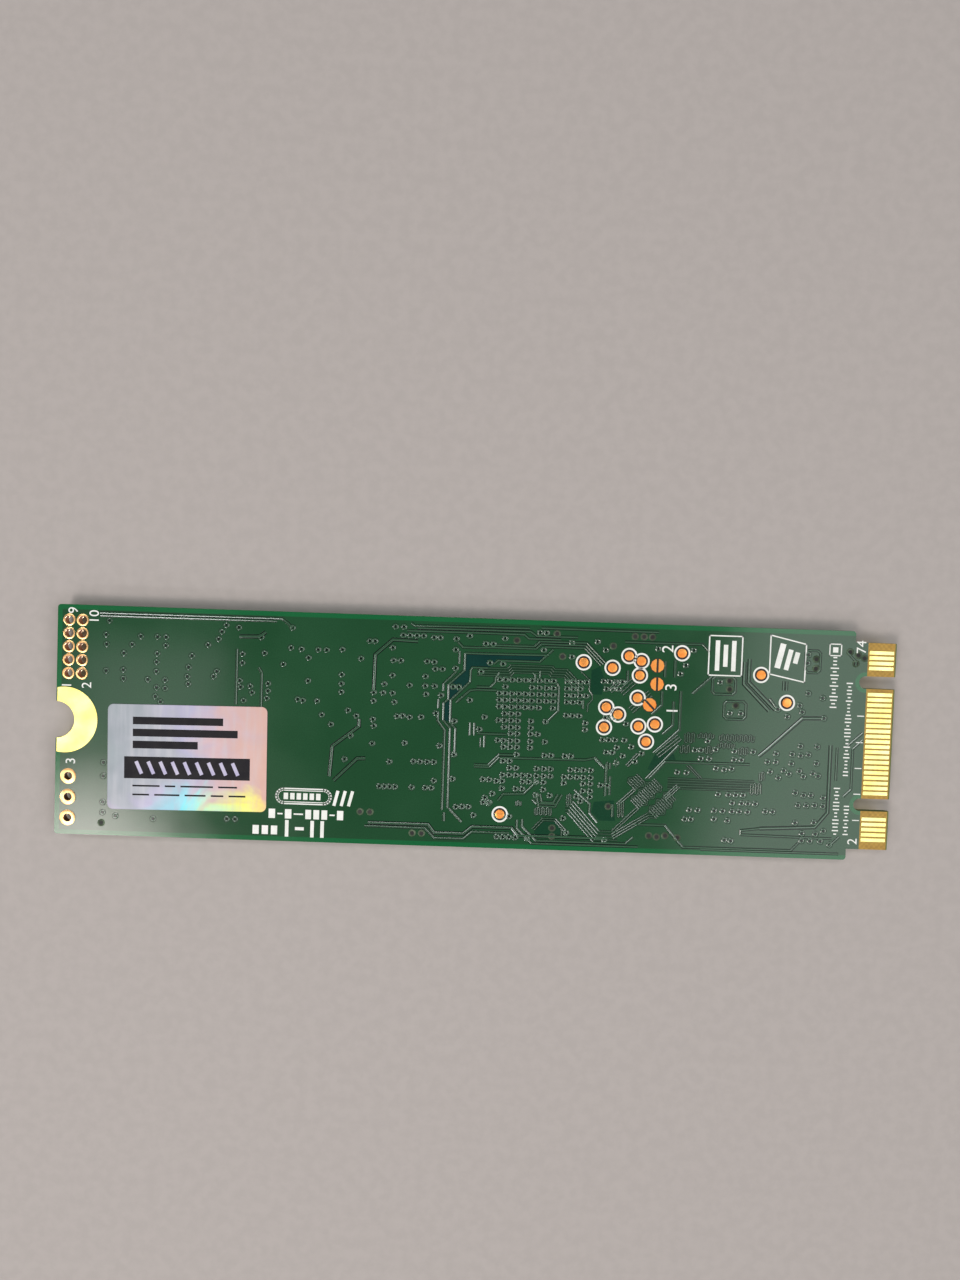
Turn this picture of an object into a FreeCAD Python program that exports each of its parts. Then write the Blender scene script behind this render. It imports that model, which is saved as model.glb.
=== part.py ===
import FreeCAD, Part
import math
import os
import re

import Sketcher

# Gumstick solid state drive: a 22 by 80 mm card with an edge connector at +X and a screw notch at -X.
# It lies with its chips down. The chips' faces are at Z = 0 and the bare back of the card looks up.
# Places on the card are measured from the screw end, and from the upper (+Y) or lower (-Y) long edge.

driving_sizes = {
    # card outline
    "board_length": 80.0,
    "board_width": 22.0,
    "board_thickness": 0.8,
    "board_corner_radius": 0.3,
    "tongue_length": 4.0,
    "tongue_width": 19.85,
    "tongue_bevel": 0.2,
    "key_slot_width": 1.2,
    "key_slot_depth": 3.5,
    "upper_key_offset": 6.125,
    "lower_key_offset": 5.625,
    "screw_notch_radius": 1.75,
    "notch_mouth_radius": 0.1,
    # plated copper
    "plating_thickness": 0.04,
    "finger_pitch": 0.5,
    "finger_width": 0.35,
    "finger_length": 2.35,
    "finger_setback": 0.1,
    "finger_edge_margin": 0.65,
    "key_near_gap": 1.125,
    "key_far_gap": 1.375,
    "screw_pad_radius": 3.15,
    "screw_pad_offset": 0.8,
    "screw_pad_setback": 0.1,
    # plated holes
    "sleeve_wall": 0.05,
    "header_pitch": 1.27,
    "header_from_end": 1.11,
    "header_from_top": 1.45,
    "header_columns": 2,
    "header_clearance": 0.5,
    "header_bore_radius": 0.4,
    "header_ring_radius": 0.57,
    "debug_count": 3,
    "debug_pitch": 2.0,
    "debug_from_end": 1.25,
    "debug_from_bottom": 1.6,
    "debug_bore_radius": 0.38,
    "debug_ring_radius": 0.75,
    # bare copper pads
    "test_pad_radius": 0.44,
    "jumper_pad_radius": 0.65,
    "jumper_split": 0.2,
    # foil label
    "label_length": 15.2,
    "label_width": 10.1,
    "label_thickness": 0.08,
    "label_corner_radius": 0.55,
    "label_from_end": 12.6,
    "label_from_top": 14.3,
    "label_turn": 0.7,
    # chips on solder balls
    "component_height": 1.2,
    "ball_height": 0.25,
    "ball_margin": 2.0,
    "mark_radius": 0.4,
    "mark_inset": 1.2,
    "small_mark_radius": 0.2,
    "small_mark_inset": 0.5,
    "mark_depth": 0.05,
    "flash_length": 14.0,
    "flash_width": 18.0,
    "flash_from_end": 4.4,
    "flash_spacing": 1.6,
    "flash_ball_pitch": 1.0,
    "flash_ball_radius": 0.22,
    "controller_length": 12.0,
    "controller_width": 12.0,
    "controller_body_height": 0.85,
    "controller_ball_pitch": 0.8,
    "controller_ball_radius": 0.18,
    "memory_length": 13.5,
    "memory_width": 8.0,
    "memory_body_height": 0.8,
    "memory_from_shoulder": 2.2,
    "memory_spacing": 0.8,
    "memory_ball_pitch": 0.8,
    "memory_ball_radius": 0.2,
    # chips on flat contacts
    "contact_height": 0.05,
    "contact_pitch": 0.5,
    "contact_width": 0.25,
    "contact_length": 0.4,
    "contact_reach": 0.1,
    "power_chip_side": 4.0,
    "power_chip_height": 0.7,
    "power_chip_from_memory": 3.85,
    "boot_chip_length": 3.0,
    "boot_chip_width": 2.0,
    "boot_chip_height": 0.55,
    "boot_chip_from_bottom": 6.5,
    # power inductors and input switch
    "inductor_length": 2.5,
    "inductor_width": 2.0,
    "inductor_pitch": 3.6,
    "inductor_from_memory": 2.75,
    "inductor_count": 3,
    "inductor_from_top": 2.1,
    "inductor_terminal": 0.35,
    "inductor_terminal_height": 0.3,
    "switch_length": 2.9,
    "switch_width": 1.6,
    "switch_body_height": 0.85,
    "switch_lift": 0.1,
    "switch_from_shoulder": 4.9,
    "switch_from_top": 7.2,
    "legs_per_side": 3,
    "leg_pitch": 0.95,
    "leg_width": 0.4,
    "leg_thickness": 0.15,
    "leg_reach": 0.6,
    "leg_foot": 0.35,
    # clock crystal
    "crystal_length": 3.2,
    "crystal_width": 2.5,
    "crystal_base_height": 0.4,
    "crystal_lid_height": 0.25,
    "crystal_lid_inset": 0.15,
    "crystal_from_top": 6.0,
    # chip capacitors and resistors
    "lane": 1.3,
    "small_cap_length": 1.0,
    "small_cap_width": 0.5,
    "small_cap_height": 0.5,
    "small_cap_end": 0.25,
    "small_cap_pitch": 1.4,
    "large_cap_length": 2.0,
    "large_cap_width": 1.25,
    "large_cap_height": 1.1,
    "large_cap_end": 0.4,
    "large_cap_pitch": 2.5,
    "large_cap_count": 5,
    "large_cap_from_shoulder": 1.1,
    "resistor_length": 1.0,
    "resistor_width": 0.5,
    "resistor_height": 0.35,
    "resistor_end": 0.2,
    "resistor_pitch": 1.6,
    "cap_end_skin": 0.02,
}

# Round test pads on the back: distance from the controller's middle, distance from the upper edge.
test_pad_spots = [
    (3.58, 3.85), (6.35, 4.28), (7.9, 3.1), (9.09, 3.55), (8.98, 4.92), (8.85, 7.07),
    (5.89, 8.06), (7.05, 8.73), (5.75, 10.0), (9.03, 9.8), (10.6, 9.56), (9.82, 11.25),
    (12.93, 2.67), (20.55, 4.48), (23.13, 7.07), (-3.92, 18.7),
]

# Split jumper pads on the back: distance from the controller's middle, from the upper edge, angle of the split.
jumper_pad_spots = [(10.63, 3.93, 90.0), (10.65, 5.7, 90.0), (10.02, 7.7, -45.0)]

# Small round features are prisms with this many sides.
round_sides = 10
ball_sides = 6

# Two places nearer than this, in millimetres, are the same.
same_place = 1e-4

for number, (along, from_top) in enumerate(test_pad_spots, start=1):
    driving_sizes[f"test_pad_{number}_along"] = along
    driving_sizes[f"test_pad_{number}_from_top"] = from_top
for number, (along, from_top, turn) in enumerate(jumper_pad_spots, start=1):
    driving_sizes[f"jumper_pad_{number}_along"] = along
    driving_sizes[f"jumper_pad_{number}_from_top"] = from_top
    driving_sizes[f"jumper_pad_{number}_turn"] = turn

document = FreeCAD.newDocument("gumstick_drive")
sheet = document.addObject("Spreadsheet::Sheet", "sizes")
for row, (alias, number) in enumerate(driving_sizes.items(), start=1):
    sheet.set(f"A{row}", alias)
    sheet.set(f"B{row}", str(number))
    sheet.setAlias(f"B{row}", alias)
document.recompute()

sub_parts = []

# Heights and edges that several pieces share, as formulas of the sheet.
underside = "component_height"
topside = "(component_height + board_thickness)"
tip = "(board_length / 2)"
shoulder = "(board_length / 2 - tongue_length)"


def sheet_terms(formula):
    return re.sub(
        r"[a-z_][a-z_0-9]*",
        lambda word: f"sizes.{word[0]}" if word[0] in driving_sizes else word[0],
        formula,
    )


def tie(owner, path, formula):
    owner.setExpression(path, sheet_terms(formula))


def from_screw_end(distance):
    return f"({distance} - board_length / 2)"


def from_upper_edge(distance):
    return f"(board_width / 2 - ({distance}))"


def from_lower_edge(distance):
    return f"({distance} - board_width / 2)"


def new_body(name):
    body = document.addObject("PartDesign::Body", name)
    body.Label = name
    sub_parts.append(body)
    return body


def origin_feature(body, role):
    return next(item for item in body.Origin.OriginFeatures if item.Role == role)


def sketch_on(body, name, x, y, z, plane="XY_Plane"):
    sketch = body.newObject("Sketcher::SketchObject", name)
    sketch.AttachmentSupport = [(origin_feature(body, plane), "")]
    sketch.MapMode = "FlatFace"
    for axis, formula in zip("xyz", (x, y, z)):
        tie(sketch, f"AttachmentOffset.Base.{axis}", formula)
    return sketch


def tie_constraint(sketch, formula, kind, *arguments):
    number = sketch.addConstraint(Sketcher.Constraint(kind, *arguments))
    tie(sketch, f"Constraints[{number}]", formula)


def draw_loop(sketch, points):
    corners = [FreeCAD.Vector(x, y, 0) for x, y in points]
    lines = []
    for number, corner in enumerate(corners):
        following = corners[(number + 1) % len(corners)]
        lines.append(sketch.addGeometry(Part.LineSegment(corner, following), False))
    for number, line in enumerate(lines):
        sketch.addConstraint(Sketcher.Constraint("Coincident", line, 2, lines[(number + 1) % len(lines)], 1))
    return lines


def draw_square_loop(sketch, points):
    lines = draw_loop(sketch, points)
    for number, line in enumerate(lines):
        start, end = points[number], points[(number + 1) % len(points)]
        level = math.isclose(start[1], end[1])
        sketch.addConstraint(Sketcher.Constraint("Horizontal" if level else "Vertical", line))
    return lines


def draw_rectangle(sketch, length, width):
    bottom, right, top, left = draw_square_loop(sketch, [(-1, -1), (1, -1), (1, 1), (-1, 1)])
    sketch.addConstraint(Sketcher.Constraint("Symmetric", bottom, 1, top, 1, -1, 1))
    tie_constraint(sketch, length, "DistanceX", bottom, 1, bottom, 2, 2.0)
    tie_constraint(sketch, width, "DistanceY", right, 1, right, 2, 2.0)


def draw_circle(sketch, radius):
    circle = Part.Circle(FreeCAD.Vector(0, 0, 0), FreeCAD.Vector(0, 0, 1), 1.0)
    ring = sketch.addGeometry(circle, False)
    sketch.addConstraint(Sketcher.Constraint("Coincident", ring, 3, -1, 1))
    tie_constraint(sketch, radius, "Radius", ring, 1.0)


def draw_polygon(sketch, sides, radius):
    circle = Part.Circle(FreeCAD.Vector(0, 0, 0), FreeCAD.Vector(0, 0, 1), 1.0)
    guide = sketch.addGeometry(circle, True)
    sketch.addConstraint(Sketcher.Constraint("Coincident", guide, 3, -1, 1))
    tie_constraint(sketch, radius, "Radius", guide, 1.0)
    step = 2 * math.pi / sides
    lines = draw_loop(sketch, [(math.cos(step * k), math.sin(step * k)) for k in range(sides)])
    for line in lines:
        sketch.addConstraint(Sketcher.Constraint("PointOnObject", line, 1, guide))
    for line in lines[1:]:
        sketch.addConstraint(Sketcher.Constraint("Equal", lines[0], line))
    sketch.addConstraint(Sketcher.Constraint("PointOnObject", lines[0], 1, -1))


def pad(body, name, sketch, height):
    feature = body.newObject("PartDesign::Pad", name)
    feature.Profile = sketch
    tie(feature, "Length", height)
    sketch.Visibility = False
    return feature


def cut_through(body, name, sketch):
    feature = body.newObject("PartDesign::Pocket", name)
    feature.Profile = sketch
    feature.Type = "ThroughAll"
    return feature


def cut_depth(body, name, sketch, depth, upward):
    feature = body.newObject("PartDesign::Pocket", name)
    feature.Profile = sketch
    feature.Reversed = upward
    tie(feature, "Length", depth)
    return feature


def repeat(body, name, features, axis, count, pitch, cross=None):
    pattern = body.newObject("PartDesign::LinearPattern", name)
    pattern.Originals = features
    pattern.Direction = (origin_feature(body, f"{axis}_Axis"), [""])
    pattern.Mode = "Spacing"
    tie(pattern, "Offset", pitch)
    tie(pattern, "Occurrences", count)
    if cross:
        cross_axis, cross_count, cross_length = cross
        pattern.Direction2 = (origin_feature(body, f"{cross_axis}_Axis"), [""])
        pattern.Mode2 = "Extent"
        tie(pattern, "Length2", cross_length)
        tie(pattern, "Occurrences2", cross_count)
    body.Tip = pattern
    return pattern


def edges_where(shape, test):
    return [f"Edge{number}" for number, edge in enumerate(shape.Edges, start=1) if test(edge)]


def upright_at(spots):
    def test(edge):
        first, last = edge.Vertexes[0].Point, edge.Vertexes[-1].Point
        upright = math.hypot(first.x - last.x, first.y - last.y) < same_place and first.z != last.z
        return upright and any(math.hypot(first.x - x, first.y - y) < same_place for x, y in spots)

    return test


def along_tip(edge):
    reach = driving_sizes["board_length"] / 2
    at_tip = all(abs(corner.X - reach) < same_place for corner in edge.Vertexes)
    return at_tip and edge.BoundBox.ZLength < same_place


def fit_count(span, pitch):
    return f"(floor(({span}) / {pitch} + {same_place}) + 1)"


# Card


def round_edges(body, name, base, spots, radius):
    document.recompute()
    feature = body.newObject("PartDesign::Fillet", name)
    feature.Base = (base, edges_where(base.Shape, upright_at(spots)))
    tie(feature, "Radius", radius)
    return feature


def draw_card_outline(sketch):
    length, width = driving_sizes["board_length"], driving_sizes["board_width"]
    neck, tongue = length - driving_sizes["tongue_length"], driving_sizes["tongue_width"]
    half, low, high = width / 2, (width - tongue) / 2, (width + tongue) / 2
    corners = [
        (0, 0), (neck, 0), (neck, low), (length, low),
        (length, high), (neck, high), (neck, width), (0, width),
    ]
    lines = draw_square_loop(sketch, [(x - length / 2, y - half) for x, y in corners])
    bottom, lower_side, end, upper_side, top = (lines[number] for number in (0, 2, 3, 4, 6))
    sketch.addConstraint(Sketcher.Constraint("Equal", lower_side, upper_side))
    tie_constraint(sketch, "board_length / 2", "DistanceX", bottom, 1, -1, 1, length / 2)
    tie_constraint(sketch, "board_length / 2", "DistanceX", -1, 1, end, 1, length / 2)
    tie_constraint(sketch, "board_width / 2", "DistanceY", bottom, 1, -1, 1, half)
    tie_constraint(sketch, "board_width / 2", "DistanceY", -1, 1, top, 1, half)
    tie_constraint(sketch, "tongue_width / 2", "DistanceY", end, 1, -1, 1, tongue / 2)
    tie_constraint(sketch, "tongue_width / 2", "DistanceY", -1, 1, end, 2, tongue / 2)
    tie_constraint(sketch, "tongue_length", "DistanceX", lower_side, 1, lower_side, 2, length - neck)


def cut_key_slot(body, name, offset):
    root = f"{tip} - key_slot_depth + key_slot_width / 2"
    straight = sketch_on(body, f"{name}_mouth", f"({root} + {tip}) / 2", offset, topside)
    draw_rectangle(straight, "key_slot_depth - key_slot_width / 2", "key_slot_width")
    cut_through(body, f"{name}_run", straight)
    end = sketch_on(body, f"{name}_root", root, offset, topside)
    draw_circle(end, "key_slot_width / 2")
    return cut_through(body, f"{name}_round_end", end)


def make_circuit_board():
    body = new_body("circuit_board")
    outline = sketch_on(body, "card_outline", "0", "0", underside)
    draw_card_outline(outline)
    pad(body, "card_blank", outline, "board_thickness")
    notch = sketch_on(body, "screw_notch_outline", f"0 - {tip}", "0", topside)
    draw_circle(notch, "screw_notch_radius")
    cut_through(body, "screw_notch", notch)
    cut_key_slot(body, "upper_key", "upper_key_offset")
    slotted = cut_key_slot(body, "lower_key", "0 - lower_key_offset")
    document.recompute()
    bevel = body.newObject("PartDesign::Chamfer", "tongue_tip_bevel")
    bevel.Base = (slotted, edges_where(slotted.Shape, along_tip))
    tie(bevel, "Size", "tongue_bevel")
    end, side = driving_sizes["board_length"] / 2, driving_sizes["board_width"] / 2
    neck, mouth = end - driving_sizes["tongue_length"], driving_sizes["screw_notch_radius"]
    ends = round_edges(body, "end_corners", bevel, [(-end, -side), (-end, side)], "board_corner_radius")
    step_limit = "min(board_corner_radius; abs(board_width - tongue_width) / 4)"
    steps = round_edges(body, "shoulder_corners", ends, [(neck, -side), (neck, side)], step_limit)
    round_edges(body, "notch_mouth", steps, [(-end, -mouth), (-end, mouth)], "notch_mouth_radius")
    header = sketch_on(
        body, "header_drill", from_screw_end("header_from_end"), from_upper_edge("header_from_top"), topside
    )
    draw_polygon(header, round_sides, "header_bore_radius + sleeve_wall")
    header_hole = cut_through(body, "header_hole", header)
    header_holes = repeat(body, "header_holes", [header_hole], "Y", header_rows, "header_pitch", header_cross)
    header_holes.Reversed = True
    debug = sketch_on(
        body, "debug_drill", from_screw_end("debug_from_end"), from_lower_edge("debug_from_bottom"), topside
    )
    draw_polygon(debug, round_sides, "debug_bore_radius + sleeve_wall")
    debug_hole = cut_through(body, "debug_hole", debug)
    repeat(body, "debug_holes", [debug_hole], "Y", "debug_count", "debug_pitch")


# Edge contacts


def add_finger_run(body, name, first, count, z, downward):
    middle = f"{tip} - tongue_bevel - finger_setback - finger_length / 2"
    sketch = sketch_on(body, f"{name}_outline", middle, first, z)
    draw_rectangle(sketch, "finger_length", "finger_width")
    finger = pad(body, f"{name}_finger", sketch, "plating_thickness")
    run = repeat(body, f"{name}_run", [finger], "Y", count, "finger_pitch")
    run.Reversed = downward


def make_contact_fingers(side, z, middle_gap, outer_gap):
    body = new_body(f"{side}_contact_fingers")
    middle_span = f"upper_key_offset + lower_key_offset - 2 * {middle_gap}"
    outer_limit = "tongue_width / 2 - finger_edge_margin"
    upper_first = f"(upper_key_offset + {outer_gap})"
    lower_first = f"(lower_key_offset + {outer_gap})"
    middle_count = fit_count(middle_span, "finger_pitch")
    add_finger_run(body, f"{side}_middle", f"{middle_gap} - lower_key_offset", middle_count, z, False)
    upper_count = fit_count(f"{outer_limit} - {upper_first}", "finger_pitch")
    add_finger_run(body, f"{side}_upper", upper_first, upper_count, z, False)
    lower_count = fit_count(f"{outer_limit} - {lower_first}", "finger_pitch")
    add_finger_run(body, f"{side}_lower", f"0 - {lower_first}", lower_count, z, True)


# Plated rings and pads


def make_screw_pad(side, z):
    body = new_body(f"{side}_screw_pad")
    disc = sketch_on(body, f"{side}_pad_disc", from_screw_end("screw_pad_offset"), "0", z)
    draw_circle(disc, "screw_pad_radius")
    pad(body, f"{side}_pad_blank", disc, "plating_thickness")
    top = f"{z} + plating_thickness"
    notch = sketch_on(body, f"{side}_pad_notch", f"0 - {tip}", "0", top)
    draw_circle(notch, "screw_notch_radius")
    cut_through(body, f"{side}_pad_inner_edge", notch)
    overhang = "(2 * screw_pad_radius)"
    edge = f"screw_pad_setback - {tip} - {overhang} / 2"
    end = sketch_on(body, f"{side}_pad_end", edge, "0", top)
    draw_rectangle(end, overhang, overhang)
    cut_through(body, f"{side}_pad_end_edge", end)


def make_hole_sleeves(name, x, y, bore, ring, rows, pitch, downward, cross=None):
    body = new_body(f"{name}_hole_sleeves")
    barrel = f"({bore} + sleeve_wall)"
    levels = [
        ("front_ring", f"{underside} - plating_thickness", ring, "plating_thickness"),
        ("barrel", underside, barrel, "board_thickness"),
        ("back_ring", topside, ring, "plating_thickness"),
    ]
    features = []
    for part, z, outer, height in levels:
        sketch = sketch_on(body, f"{name}_{part}_outline", x, y, z)
        draw_polygon(sketch, round_sides, outer)
        draw_polygon(sketch, round_sides, bore)
        features.append(pad(body, f"{name}_{part}", sketch, height))
    pattern = repeat(body, f"{name}_sleeves", features, "Y", rows, pitch, cross)
    pattern.Reversed = downward


def make_test_pads():
    discs = []
    for number in range(1, len(test_pad_spots) + 1):
        disc = document.addObject("Part::Prism", f"test_pad_{number}")
        disc.Polygon = round_sides
        tie(disc, "Circumradius", "test_pad_radius")
        tie(disc, "Height", "plating_thickness")
        tie(disc, "Placement.Base.x", f"{controller_x} + test_pad_{number}_along")
        tie(disc, "Placement.Base.y", from_upper_edge(f"test_pad_{number}_from_top"))
        tie(disc, "Placement.Base.z", topside)
        discs.append(disc)
    group = document.addObject("Part::Compound", "test_pads")
    group.Label = "test_pads"
    group.Links = discs
    sub_parts.append(group)


def make_jumper_pads():
    body = new_body("jumper_pads")
    for number in range(1, len(jumper_pad_spots) + 1):
        x = f"({controller_x} + jumper_pad_{number}_along)"
        y = from_upper_edge(f"jumper_pad_{number}_from_top")
        disc = sketch_on(body, f"jumper_{number}_disc", x, y, topside)
        draw_polygon(disc, round_sides, "jumper_pad_radius")
        pad(body, f"jumper_{number}_pad", disc, "plating_thickness")
        split = sketch_on(body, f"jumper_{number}_gap", x, y, f"{topside} + plating_thickness")
        tie(split, "AttachmentOffset.Rotation.Angle", f"jumper_pad_{number}_turn")
        draw_rectangle(split, "2 * jumper_pad_radius + jumper_split", "jumper_split")
        cut_depth(body, f"jumper_{number}_split", split, "plating_thickness", False)


def make_hologram_label():
    body = new_body("hologram_label")
    outline = sketch_on(
        body, "label_outline", from_screw_end("label_from_end"), from_upper_edge("label_from_top"), topside
    )
    tie(outline, "AttachmentOffset.Rotation.Angle", "label_turn")
    draw_rectangle(outline, "label_length", "label_width")
    sheet_of_foil = pad(body, "label_sheet", outline, "label_thickness")
    document.recompute()
    corners = body.newObject("PartDesign::Fillet", "label_corners")
    upright = edges_where(sheet_of_foil.Shape, lambda edge: edge.BoundBox.ZLength > same_place)
    corners.Base = (sheet_of_foil, upright)
    tie(corners, "Radius", "label_corner_radius")


# Moulded chips. Each hangs under the card, with a round corner mark in its outer face.


def make_chip(name, x, y, length, width, height, stand_off, mark_kind):
    body = new_body(name)
    outer_face = f"({underside} - {stand_off} - {height})"
    outline = sketch_on(body, f"{name}_outline", x, y, outer_face)
    draw_rectangle(outline, length, width)
    pad(body, f"{name}_mould", outline, height)
    mark_x = f"{x} - {length} / 2 + {mark_kind}_inset"
    mark_y = f"{y} + {width} / 2 - {mark_kind}_inset"
    mark = sketch_on(body, f"{name}_mark_outline", mark_x, mark_y, outer_face)
    draw_polygon(mark, round_sides, f"{mark_kind}_radius")
    cut_depth(body, f"{name}_mark", mark, "mark_depth", True)


def make_solder_balls(name, x, y, length, width, pitch, radius):
    body = new_body(name)
    columns = fit_count(f"{length} - 2 * ball_margin", pitch)
    rows = fit_count(f"{width} - 2 * ball_margin", pitch)
    reach_x = f"(({columns} - 1) * {pitch})"
    reach_y = f"(({rows} - 1) * {pitch})"
    seat = f"{underside} - ball_height"
    long_row = sketch_on(body, f"{name}_row_ball", f"{x} - {reach_x} / 2", f"{y} - {reach_y} / 2", seat)
    draw_polygon(long_row, ball_sides, radius)
    row_ball = pad(body, f"{name}_first_in_row", long_row, "ball_height")
    repeat(body, f"{name}_rows", [row_ball], "X", columns, pitch, ("Y", "2", reach_y))
    second = f"{y} - {reach_y} / 2 + {pitch}"
    side = sketch_on(body, f"{name}_side_ball", f"{x} - {reach_x} / 2", second, seat)
    draw_polygon(side, ball_sides, radius)
    side_ball = pad(body, f"{name}_first_at_side", side, "ball_height")
    repeat(body, f"{name}_sides", [side_ball], "Y", f"{rows} - 2", pitch, ("X", "2", reach_x))


# Small chips on flat contacts


def add_contact_row(body, name, x, y, along, count, length, width):
    first = f"(({count} - 1) * contact_pitch / 2)"
    start_x = f"{x} - {first}" if along == "X" else x
    start_y = f"{y} - {first}" if along == "Y" else y
    sketch = sketch_on(body, f"{name}_outline", start_x, start_y, f"{underside} - contact_height")
    draw_rectangle(sketch, length, width)
    contact = pad(body, f"{name}_contact", sketch, "contact_height")
    repeat(body, f"{name}_row", [contact], along, count, "contact_pitch")


def make_side_contacts(name, x, y, length, width, sides):
    body = new_body(name)
    inward = "contact_length / 2 - contact_reach"
    for side in sides:
        if side in ("left", "right"):
            sign = "-" if side == "left" else "+"
            row_x = f"({x} {sign} ({length} / 2 - ({inward})))"
            count = fit_count(f"{width} - 2 * contact_pitch - contact_width", "contact_pitch")
            add_contact_row(body, f"{name}_{side}", row_x, y, "Y", count, "contact_length", "contact_width")
        else:
            sign = "-" if side == "lower" else "+"
            row_y = f"({y} {sign} ({width} / 2 - ({inward})))"
            count = fit_count(f"{length} - 2 * contact_pitch - contact_width", "contact_pitch")
            add_contact_row(body, f"{name}_{side}", x, row_y, "X", count, "contact_width", "contact_length")


# Power inductors: moulded blocks with a flat terminal under each end


def make_inductors(x, y):
    blocks = new_body("power_inductors")
    height = "(component_height - inductor_terminal_height)"
    lower = sketch_on(blocks, "inductor_outline", x, y, "0")
    draw_rectangle(lower, "inductor_length", "inductor_width")
    block = pad(blocks, "inductor_block", lower, height)
    waist = sketch_on(blocks, "inductor_waist_outline", x, y, height)
    draw_rectangle(waist, "inductor_length - 2 * inductor_terminal", "inductor_width")
    seat = pad(blocks, "inductor_waist", waist, "inductor_terminal_height")
    repeat(blocks, "inductor_row", [block, seat], "X", "inductor_count", "inductor_pitch")
    ends = new_body("inductor_terminals")
    first = f"{x} - inductor_length / 2 + inductor_terminal / 2"
    plate = sketch_on(ends, "inductor_terminal_outline", first, y, height)
    draw_rectangle(plate, "inductor_terminal", "inductor_width")
    terminal = pad(ends, "inductor_terminal", plate, "inductor_terminal_height")
    pair = ("X", "2", "inductor_length - inductor_terminal")
    repeat(ends, "inductor_terminal_row", [terminal], "X", "inductor_count", "inductor_pitch", pair)


# Input switch: a small moulded block on six bent legs


def draw_leg(sketch, outward):
    level = driving_sizes["switch_lift"] + driving_sizes["switch_body_height"] / 2
    thick, reach = driving_sizes["leg_thickness"], driving_sizes["leg_reach"]
    bend = reach - driving_sizes["leg_foot"]
    profile = [
        (0, thick - level), (bend, thick - level), (bend, 0), (reach, 0),
        (reach, -thick), (bend + thick, -thick), (bend + thick, -level), (0, -level),
    ]
    lines = draw_square_loop(sketch, [(outward * x, y) for x, y in profile])
    arm, riser, sole, toe, instep, root = (lines[number] for number in (0, 1, 2, 3, 4, 7))
    sketch.addConstraint(Sketcher.Constraint("PointOnObject", root, 2, -2))
    sketch.addConstraint(Sketcher.Constraint("PointOnObject", riser, 2, -1))
    forward = (1, 2) if outward > 0 else (2, 1)
    backward = forward[::-1]
    spans = [
        (arm, forward, "leg_reach - leg_foot", bend),
        (sole, forward, "leg_foot", reach - bend),
        (instep, backward, "leg_foot - leg_thickness", reach - bend - thick),
    ]
    for line, (first, last), formula, length in spans:
        tie_constraint(sketch, formula, "DistanceX", line, first, line, last, length)
    rise = "switch_lift + switch_body_height / 2 - leg_thickness"
    tie_constraint(sketch, rise, "DistanceY", riser, 1, riser, 2, level - thick)
    tie_constraint(sketch, "leg_thickness", "DistanceY", toe, 2, toe, 1, thick)
    tie_constraint(sketch, "leg_thickness", "DistanceY", root, 1, root, 2, thick)


def make_input_switch(x, y):
    height, lift = "switch_body_height", "switch_lift"
    make_chip("input_switch", x, y, "switch_length", "switch_width", height, lift, "small_mark")
    body = new_body("input_switch_legs")
    first = f"{x} - (legs_per_side - 1) * leg_pitch / 2 - leg_width / 2"
    for side, outward in (("upper", 1), ("lower", -1)):
        wall = f"{y} + {outward} * switch_width / 2"
        sketch = sketch_on(body, f"{side}_leg_side_view", wall, underside, first, "YZ_Plane")
        draw_leg(sketch, outward)
        leg = pad(body, f"{side}_leg", sketch, "leg_width")
        repeat(body, f"{side}_legs", [leg], "X", "legs_per_side", "leg_pitch")


# Clock crystal: a ceramic tray closed by a metal lid


def make_crystal(x, y):
    tray = new_body("crystal_tray")
    outline = sketch_on(tray, "crystal_outline", x, y, f"{underside} - crystal_base_height")
    draw_rectangle(outline, "crystal_width", "crystal_length")
    pad(tray, "crystal_tray_block", outline, "crystal_base_height")
    lid = new_body("crystal_lid")
    lid_face = f"{underside} - crystal_base_height - crystal_lid_height"
    rim = sketch_on(lid, "crystal_lid_outline", x, y, lid_face)
    draw_rectangle(rim, "crystal_width - 2 * crystal_lid_inset", "crystal_length - 2 * crystal_lid_inset")
    pad(lid, "crystal_lid_plate", rim, "crystal_lid_height")


# Chip capacitors and resistors: a block between two metal ends, set out in rows


def add_block_row(body, name, x, y, z, size, along, count, pitch):
    length, width, height = size
    sketch = sketch_on(body, f"{name}_outline", x, y, z)
    draw_rectangle(sketch, length, width)
    block = pad(body, f"{name}_block", sketch, height)
    repeat(body, f"{name}_row", [block], along, count, pitch)


def make_chip_rows(bodies_name, ends_name, kind, rows):
    length, width, height, end = (f"{kind}_{word}" for word in ("length", "width", "height", "end"))
    core_length = f"{length} - 2 * {end}"
    core_width = f"{width} - 2 * cap_end_skin"
    core_height = f"{height} - 2 * cap_end_skin"
    core_floor = f"{underside} - {height} + cap_end_skin"
    end_floor = f"{underside} - {height}"
    shift = f"(({length} - {end}) / 2)"
    cores, ends = new_body(bodies_name), new_body(ends_name)
    for name, x, y, lie, along, count, pitch in rows:
        first = f"(({count} - 1) * {pitch} / 2)"
        start_x = f"({x} - {first})" if along == "X" else x
        start_y = f"({y} - {first})" if along == "Y" else y
        if lie == "X":
            core_size, end_size = (core_length, core_width, core_height), (end, width, height)
        else:
            core_size, end_size = (core_width, core_length, core_height), (width, end, height)
        add_block_row(cores, f"{name}_core", start_x, start_y, core_floor, core_size, along, count, pitch)
        for side, sign in (("first", "-"), ("second", "+")):
            end_x = f"{start_x} {sign} {shift}" if lie == "X" else start_x
            end_y = f"{start_y} {sign} {shift}" if lie == "Y" else start_y
            add_block_row(ends, f"{name}_{side}_end", end_x, end_y, end_floor, end_size, along, count, pitch)


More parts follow.
